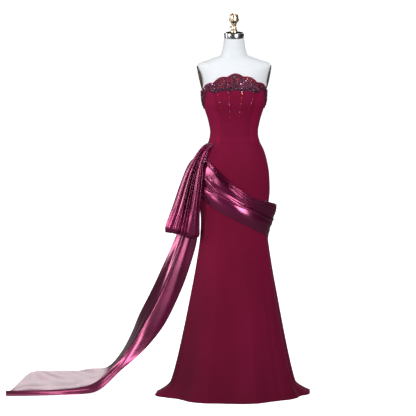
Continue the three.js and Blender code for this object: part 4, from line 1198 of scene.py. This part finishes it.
def rowsBetween(first, last):
    # rows that follow the scallops and the lower border
    beads = []
    for inset, kind, step, size, names in scallopRows:
        for k, angle in enumerate(anglesAlong(first, last, step)):
            ahead = float(necklineHeight(angle + 0.5) - necklineHeight(angle - 0.5))
            z = float(necklineHeight(angle)) - beading["topInset"] - inset
            if z >= lobedLow(angle) + beading["rowClear"]:
                turn = math.atan2(ahead, beading["rowLean"])
                tone = toneOf(names[k % len(names)], beading["rowTones"])
                beads.append((kind, angle, z, beading["rowLift"], size, turn, 0, tone))
    look = borderBead
    for above, names in borderRows:
        for k, angle in enumerate(anglesAlong(first, last, look["step"])):
            z = float(lobedLow(angle)) + above
            tone = toneOf(names[k % len(names)], beading["borderTones"])
            beads.append(("seed", angle, z, look["lift"], look["size"], 0, 0, tone))
    return beads


def petalsRound(z, angle, width, tone):
    look, petals = flowers, []
    for turn in roundTurns(look["petals"]):
        away = width / 2 + look["away"]
        beside = float(besideSeam(z, angle, away * math.cos(turn)))
        height = z + away * math.sin(turn)
        petals.append(("sequin", beside, height, look["lift"], look["size"], turn, look["tilt"], tone))
    return petals


def stonesBetween(rows):
    stones, petals = [], []
    for k, (angle, z, colour, width) in enumerate(rows):
        z = min(z, float(necklineHeight(angle)) - beading["stoneRoom"])
        turn = dice.uniform(0, 1)
        stones.append(("stone", angle, z, beading["stoneLift"], width / 2, turn, 0.0, glassColours[colour]))
        if k % flowers["every"] == 0:
            tone = tuple(np.array(glassColours["plum" if k % 2 else "navy"]) * flowers["bright"])
            petals += petalsRound(z, angle, width, tone)
    return stones, petals


def makeBeadedNet():
    mirrored = [(-angle, *rest) for angle, *rest in sideStones]
    stoneRows = {"front": frontStones, "right": sideStones, "left": mirrored}
    for side, first, last in beading["stretches"]:
        node = "beaded_band_" + side
        angle, v = np.meshgrid(evenly(int(abs(last - first) * 1.5), first, last), evenly(22))
        z = mix(lobedLow(angle), necklineHeight(angle) - beading["topInset"], v)
        embroidery = beading["embroidery"] * np.sin(angle * 3.1 + 2 * np.sin(z * 0.4)) * np.sin(z * 0.9)
        grid = gownPoint(z, angle, beading["netLift"] + embroidery)
        clothPiece(
            "beaded_net_" + side, grid, beading["netThickness"], applique, "stretched",
            ["bodice_centre_front_panel"], slot="beadwork", stands=(node,),
        )
        beads = strewnBetween(first, last) + rowsBetween(first, last)
        stones, petals = stonesBetween(stoneRows[side])
        strewBeads("beads_" + side, beads + petals, beadGlass, 60, (node,), "beadwork")
        strewBeads("stones_" + side, stones, stoneGlass, 8, (node,), "beadwork")


def lineBetween(line):
    look = lineBeads
    (topAngle, topZ), (lowAngle, lowZ) = line["from"], line["to"]

    def angleAt(z):
        return mix(lowAngle, topAngle, (z - lowZ) / (topZ - lowZ))

    beads, start = [], topZ - look["start"]
    for k in range(int((start + 1 - lowZ) / look["step"]) + 1):
        z = start - k * look["step"]
        if any(abs(z - at) < look["clear"] for at in line["accents"]) or dice.random() > line["close"]:
            continue
        kind = "bugle" if k % 2 else "seed"
        tone = toneOf("red" if k % 5 else "orange", beading["rowTones"])
        beads.append((kind, angleAt(z), z, look["lift"], look[kind], math.pi / 2, 0.0, tone))
    for z, colour in line["accents"].items():
        angle, below = angleAt(z), z - look["dropBelow"]
        beads.append(("seed", angle, z, look["accentLift"], look["accent"], 0, 0, glassColours[colour]))
        beads.append(("seed", angle, below, look["lift"], look["drop"], 0, 0, glassColours["red"]))
    return beads


def makeBeadLines():
    for number, line in enumerate(beadLines, 1):
        stands = (f"bead_drop_{number}",)
        stones = [
            ("stone", angle, z, lineBeads["headLift"], width / 2, 0.3, 0.0, glassColours[colour])
            for angle, z, colour, width in line["heads"]
        ]
        strewBeads(f"bead_line_{number}", lineBetween(line), beadGlass, 60, stands, "red_beads")
        strewBeads(f"bead_line_stones_{number}", stones, stoneGlass, 8, stands, "red_beads")


def tubeMesh(path, radius, sides):
    # rings of points round a path, in millimetres
    ahead = unit(np.gradient(path, axis=0))
    level = unit(np.cross(ahead, [0.0, 0.0, 1.0]))
    up = np.cross(level, ahead)
    turn = roundTurns(sides)
    ring = level[:, None] * np.cos(turn)[None, :, None] + up[:, None] * np.sin(turn)[None, :, None]
    return path[:, None] + radius * ring


def makePiping():
    look = beading["piping"]
    for side, first, last in beading["stretches"]:
        angle = evenly(int(abs(last - first) * 2), first, last)
        path = gownPoint(necklineHeight(angle) + look["above"] - look["radius"], angle, look["lift"])
        ringPiece("neckline_piping_" + side, tubeMesh(path, look["radius"], 8), piping, slot="beadwork")


makeBeadedNet()
makeBeadLines()
makePiping()
print("beadwork made")

# Zip at centre back
zipLook = {
    "top": 1385, "bottom": 1016, "tapeWidth": 12, "tapeLift": 1.45, "tapeThickness": 0.3,
    "pitch": 1.7, "tooth": (1.0, 0.45, 0.55), "apart": 0.55, "toothLift": 1.9,
    "bevel": 0.0003,
}


def makeZip():
    look = zipLook
    z, side = np.meshgrid(evenly(60, look["bottom"], look["top"]), evenly(6, -1, 1), indexing="ij")
    angle = besideSeam(z, 180.0, side * look["tapeWidth"] / 2)
    clothPiece(
        "zip_tape", gownPoint(z, angle, look["tapeLift"]), look["tapeThickness"], crepe, "stretched",
        ["skirt_back_left_panel"], slot="zip", stands=("zip_coil",),
    )
    corners = np.array([(x, y, h) for h in (-1, 1) for y in (-1, 1) for x in (-1, 1)], float)
    boxFaces = [[0, 2, 3, 1], [4, 5, 7, 6], [0, 1, 5, 4], [2, 6, 7, 3], [0, 4, 6, 2], [1, 3, 7, 5]]
    vertices, faces = [], []
    for height in np.arange(look["bottom"] + 1, look["top"] - 1, look["pitch"]):
        for way in (-1, 1):
            at = height + (look["pitch"] / 2 if way > 0 else 0)
            middle = gownPoint(at, float(besideSeam(at, 180.0, way * look["apart"])), look["toothLift"])
            faces += [[len(vertices) * 8 + x for x in face] for face in boxFaces]
            vertices.append(middle + corners * np.array(look["tooth"]))
    vertices = np.concatenate(vertices) * milli
    newPiece("zip_teeth", vertices, faces, zipEnamel, slot="zip", stands=("zip_coil",))
    for name in ("zip_slider", "zip_pull_tab"):
        node = wearing(name, zipEnamel)
        rounded = node.modifiers.new("rounded edges", "BEVEL")
        rounded.width, rounded.segments, rounded.limit_method = look["bevel"], 2, "ANGLE"


makeZip()
print("zip made")

# Dress form
dressForm = {
    "columns": 132,
    "bottom": 850, "top": 1697,
    "bottomRoll": 3.0, "topRoll": 1.2,  # how far its lower and upper edge are rounded in
    "armhole": {
        "low": 1452, "high": 1566, "lowX": 152, "highX": 176, "plate": 6, "halfDepth": 40, "centreY": 2,
    },
    "gap": 0.3,
    "seamDepth": 0.5, "neckSeam": 1611,
    # the sides are flat behind the plates, from the second height to the third
    "flatSides": (1434, 1450, 1572, 1584),
}
# Across the plate from its rim: how far in from the face, and how far in from the rim.
plateSteps = [
    (6, 0.6), (5.4, 0), (1.4, 0), (0.4, 0.7), (0, 1.8), (0, 7), (0.7, 8), (0.7, 9.5), (0, 10.5), (0, 33),
    (-1.3, 34), (-1.7, 36),
]
# Turned parts: radius and height.
capProfile = [
    (44.6, 1697.3), (45.8, 1697.9), (46.2, 1699), (46.2, 1703.4), (45.3, 1704.2), (45.3, 1705.6),
    (46.2, 1706.4), (46.2, 1718.5), (45.6, 1720.8), (44.4, 1722), (42.6, 1722), (41.4, 1721),
    (40.6, 1717.5), (39, 1715.4), (16.5, 1715), (15.4, 1715.6), (15, 1717), (15, 1719.8), (14.2, 1721),
    (6, 1721.2),
]
capDish = {"radius": 41.8, "height": 1710}
knobProfile = [
    (14.6, 1721.3), (15.8, 1722), (16.2, 1724.5), (16.1, 1728), (15.2, 1731.5), (13.4, 1735.5),
    (11.6, 1740), (10.5, 1745), (10.0, 1751), (10.2, 1756), (11.2, 1760.5), (12.6, 1763.5), (13.0, 1764.6),
    (12.8, 1765.8), (14.6, 1768.2), (17.2, 1771.6), (20.2, 1775.4), (22.6, 1778.6), (23.6, 1780.6),
    (24.0, 1782.6), (23.6, 1784.4), (22.3, 1786.2), (21.0, 1788), (20.0, 1790.5), (19.5, 1794),
    (19.3, 1798), (18.8, 1802), (17.6, 1805.6), (15.4, 1808.8), (12.0, 1811.4), (7.6, 1813), (3, 1813.5),
]
# The set screw lies level: radius, and how far out from the form's axis.
screw = {
    "height": 1749, "sides": 24, "knurls": 12, "knurlDepth": 0.05, "knurled": 4.1,
    "profile": [
        (2.1, 10.5), (2.1, 13.6), (3.0, 14.2), (4.0, 14.6), (4.3, 15.4), (4.3, 19.0), (3.9, 20.0),
        (2.6, 20.4), (1, 20.5),
    ],
}


def armholeX(z):
    hole = dressForm["armhole"]
    return mix(hole["lowX"], hole["highX"], (z - hole["low"]) / (hole["high"] - hole["low"]))


def makeTorso():
    low, high = dressForm["bottom"], dressForm["top"]
    heights = np.concatenate([
        [low, low + 0.6, low + 2, low + 6], evenly(96, 862, 1556), evenly(26, 1560, 1620),
        evenly(14, 1624, 1690), [high - 3, high - 0.8, high],
    ])
    z, angle = np.meshgrid(heights, evenly(dressForm["columns"], 0, 360)[:-1], indexing="ij")
    depth = np.where(np.cos(np.radians(angle)) > 0, formFront(z), formBack(z))
    rolled = -dressForm["bottomRoll"] * (1 - smoothStep(low, low + 7, z))
    rolled = rolled - dressForm["topRoll"] * smoothStep(high - 4, high, z)
    backSeam, neckSeam = bell(turnFrom(angle, 180) / 0.9), bell((z - dressForm["neckSeam"]) / 1.4)
    lift = bustFullness(z, angle) + rolled - dressForm["seamDepth"] * (backSeam + neckSeam)
    points = ovalPoint(z, angle, formSide(z), depth, lift)
    limit = armholeX(z) - dressForm["armhole"]["plate"] - dressForm["gap"]
    start, full, fading, end = dressForm["flatSides"]
    share = smoothStep(start, full, z) * (1 - smoothStep(fading, end, z))
    points[..., 0] = mix(points[..., 0], np.clip(points[..., 0], -limit, limit), share)
    ringPiece("covered_torso", points, jersey, slot="form_cover", stands=("form_torso",), sharp=50)


def makePlates():
    hole = dressForm["armhole"]
    middle, halfHeight = (hole["low"] + hole["high"]) / 2, (hole["high"] - hole["low"]) / 2
    turn = roundTurns(72)
    for way, side in ((1, "right"), (-1, "left")):
        rings = []
        for inward, shrink in plateSteps:
            z = middle + halfHeight * (1 - shrink / hole["halfDepth"]) * np.sin(turn)
            y = (hole["halfDepth"] - shrink) * np.cos(turn) + hole["centreY"]
            rings.append(np.stack([way * (armholeX(z) - inward), y, z], axis=1)[::-way])
        ringPiece(
            "armhole_plate_" + side, rings, darkWood, slot="dark_wood",
            stands=("form_armhole_plate_" + side,), sharp=30,
        )


def makeTop():
    cap = turnedPiece(
        "neck_cap", capProfile, steel, segments=96, slot="steel", stands=("form_neck_cap",), sharp=30,
    )
    cap.data.materials.append(darkSteel)
    for polygon in cap.data.polygons:
        x, y, z = polygon.center / milli
        polygon.material_index = int(math.hypot(x, y) < capDish["radius"] and z > capDish["height"])
    turnedPiece(
        "neck_knob", knobProfile, champagne, slot="champagne_brass", stands=("form_finial",), sharp=40,
    )


def makeScrew():
    turn = roundTurns(screw["sides"])
    rings = []
    for r, out in screw["profile"]:
        if r > screw["knurled"]:
            r = r * (1 + screw["knurlDepth"] * np.cos(turn * screw["knurls"]))
        x, y, z = np.full(len(turn), -out), r * np.cos(turn), screw["height"] + r * np.sin(turn)
        rings.append(np.stack([x, y, z], axis=1)[::-1])
    ringPiece("neck_set_screw", rings, steel, slot="steel", stands=("form_neck_screw",), sharp=45)


def finishStand():
    for name in ("stand_pole", "stand_base"):
        mesh = wearing(name, steel).data
        mesh.polygons.foreach_set("use_smooth", [True] * len(mesh.polygons))
        mesh.set_sharp_from_angle(angle=math.radians(30))


makeTorso()
makePlates()
makeTop()
makeScrew()
finishStand()
print("dress form made")

# Floor, light and camera
studio = {
    "floor": 40, "floorDrop": 0.001,
    "floorColour": (0.87, 0.87, 0.88),
    "floorToCloth": (0.14, 0.135, 0.14, 1),  # what the cloth sees and reflects of the floor
    "floorGlow": 0.9,
    # brightness of the room toward the back wall, the ceiling and the sides
    "roomBack": 1.9, "roomTop": 0.2, "roomSide": 0.035,
    # how far a way must point back, or up, before the back wall, its lower edge and the ceiling set in
    "wallFrom": (0.92, 0.98), "wallAbove": (0.09, 0.16), "ceilingFrom": (0.15, 0.7),
    # name, place, what it faces, width and height, power
    "lamps": [
        ("key softbox", (-4.3, -2.4, 2.4), (-0.1, 0, 1.0), (1.5, 2.2), 100),
        ("low left strip", (-1.03, -1.0, 0.80), (-0.28, 0.03, 0.68), (0.28, 0.3), 1.6),
        ("side strip", (-4.0, 0.9, 1.7), (-0.1, 0, 1.1), (0.9, 2.4), 50),
        ("back softbox", (1.6, 5.2, 3.6), (0, 0, 0.9), (3.0, 2.2), 105),
        ("front softbox", (2.0, -4.6, 2.3), (0, 0, 1.4), (2.1, 2.0), 165),
        ("top softbox", (0.3, -1.6, 4.6), (0, 0, 1.3), (2.0, 1.6), 44),
    ],
    "camera": (-2.8739, -39.3468, 7.4906),
    "target": (-0.1219, 0.00852, 0.88874),
    "lens": 736.5,
    "sensor": 36,
}


def aimed(thing, place, target):
    thing.location = place
    thing.rotation_euler = (Vector(target) - Vector(place)).to_track_quat("-Z", "Y").to_euler()
    bpy.context.scene.collection.objects.link(thing)
    return thing


def cameraRays(tree):
    return addNode(tree, "ShaderNodeLightPath", {}).outputs["Is Camera Ray"]


def makeFloor():
    # pale paper, brighter to the eye than it is as a light on the cloth
    fixed = {"Roughness": 0.9, "Emission Color": (1.0, 1.0, 1.0, 1)}
    paper, tree, shader, place = newFinish("pale paper", fixed)
    tone = studio["floorColour"]
    dye = colourRamp(tree, noiseOf(tree, place, 2.0), [(0.3, tuple(0.985 * c for c in tone)), (0.7, tone)])
    seen = cameraRays(tree)
    shade = addNode(tree, "ShaderNodeMix", {0: seen, 6: studio["floorToCloth"], 7: dye}, data_type="RGBA")
    glow = addNode(tree, "ShaderNodeMath", {0: seen, 1: studio["floorGlow"]}, operation="MULTIPLY")
    linkAll(tree, shader, {"Base Color": shade.outputs[2], "Emission Strength": glow.outputs["Value"]})
    half = studio["floor"] / 2
    corners = [(x * half, y * half, -studio["floorDrop"]) for x, y in ((-1, -1), (1, -1), (1, 1), (-1, 1))]
    mesh = bpy.data.meshes.new("studio floor")
    mesh.from_pydata(corners, [], [(0, 1, 2, 3)])
    mesh.materials.append(paper)
    floor = bpy.data.objects.new("studio_floor", mesh)
    bpy.context.scene.collection.objects.link(floor)
    floor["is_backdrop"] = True


def makeRoom():
    # a bright wall low at the back, a dim ceiling and dark sides; the eye itself meets plain white
    world = bpy.data.worlds.new("studio")
    world.use_nodes = True
    tree = world.node_tree
    ways = addNode(tree, "ShaderNodeTexCoord", {}).outputs["Generated"]
    way = addNode(tree, "ShaderNodeSeparateXYZ", {"Vector": ways}).outputs
    toBack = rangeOf(tree, way["Y"], 0.0, studio["roomBack"], *studio["wallFrom"])
    aboveFloor = rangeOf(tree, way["Z"], 0.0, 1.0, *studio["wallAbove"])
    wall = addNode(tree, "ShaderNodeMath", {0: toBack, 1: aboveFloor}, operation="MULTIPLY").outputs["Value"]
    toTop = rangeOf(tree, way["Z"], studio["roomSide"], studio["roomTop"], *studio["ceilingFrom"])
    brighter = addNode(tree, "ShaderNodeMath", {0: wall, 1: toTop}, operation="MAXIMUM").outputs["Value"]
    level = addNode(tree, "ShaderNodeMix", {0: cameraRays(tree), 2: brighter, 3: 1.0}).outputs[0]
    background = tree.nodes["Background"]
    background.inputs["Color"].default_value = (1.0, 1.0, 1.0, 1)
    tree.links.new(level, background.inputs["Strength"])
    bpy.context.scene.world = world


def makeLamps():
    for name, place, target, (width, height), power in studio["lamps"]:
        lamp = bpy.data.lights.new(name, "AREA")
        lamp.shape, lamp.size, lamp.size_y, lamp.energy = "RECTANGLE", width, height, power
        aimed(bpy.data.objects.new(name, lamp), place, target)


def setCamera():
    lens = bpy.data.cameras.new("long lens")
    lens.lens, lens.sensor_width = studio["lens"], studio["sensor"]
    lens.clip_start, lens.clip_end = 1, 200
    scene = bpy.context.scene
    scene.camera = aimed(bpy.data.objects.new("camera", lens), studio["camera"], studio["target"])
    scene.view_settings.view_transform = "Standard"


makeFloor()
makeRoom()
makeLamps()
setCamera()
triangles = 0
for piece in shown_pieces():
    piece.data.calc_loop_triangles()
    triangles += len(piece.data.loop_triangles)
print("triangles in all:", triangles)
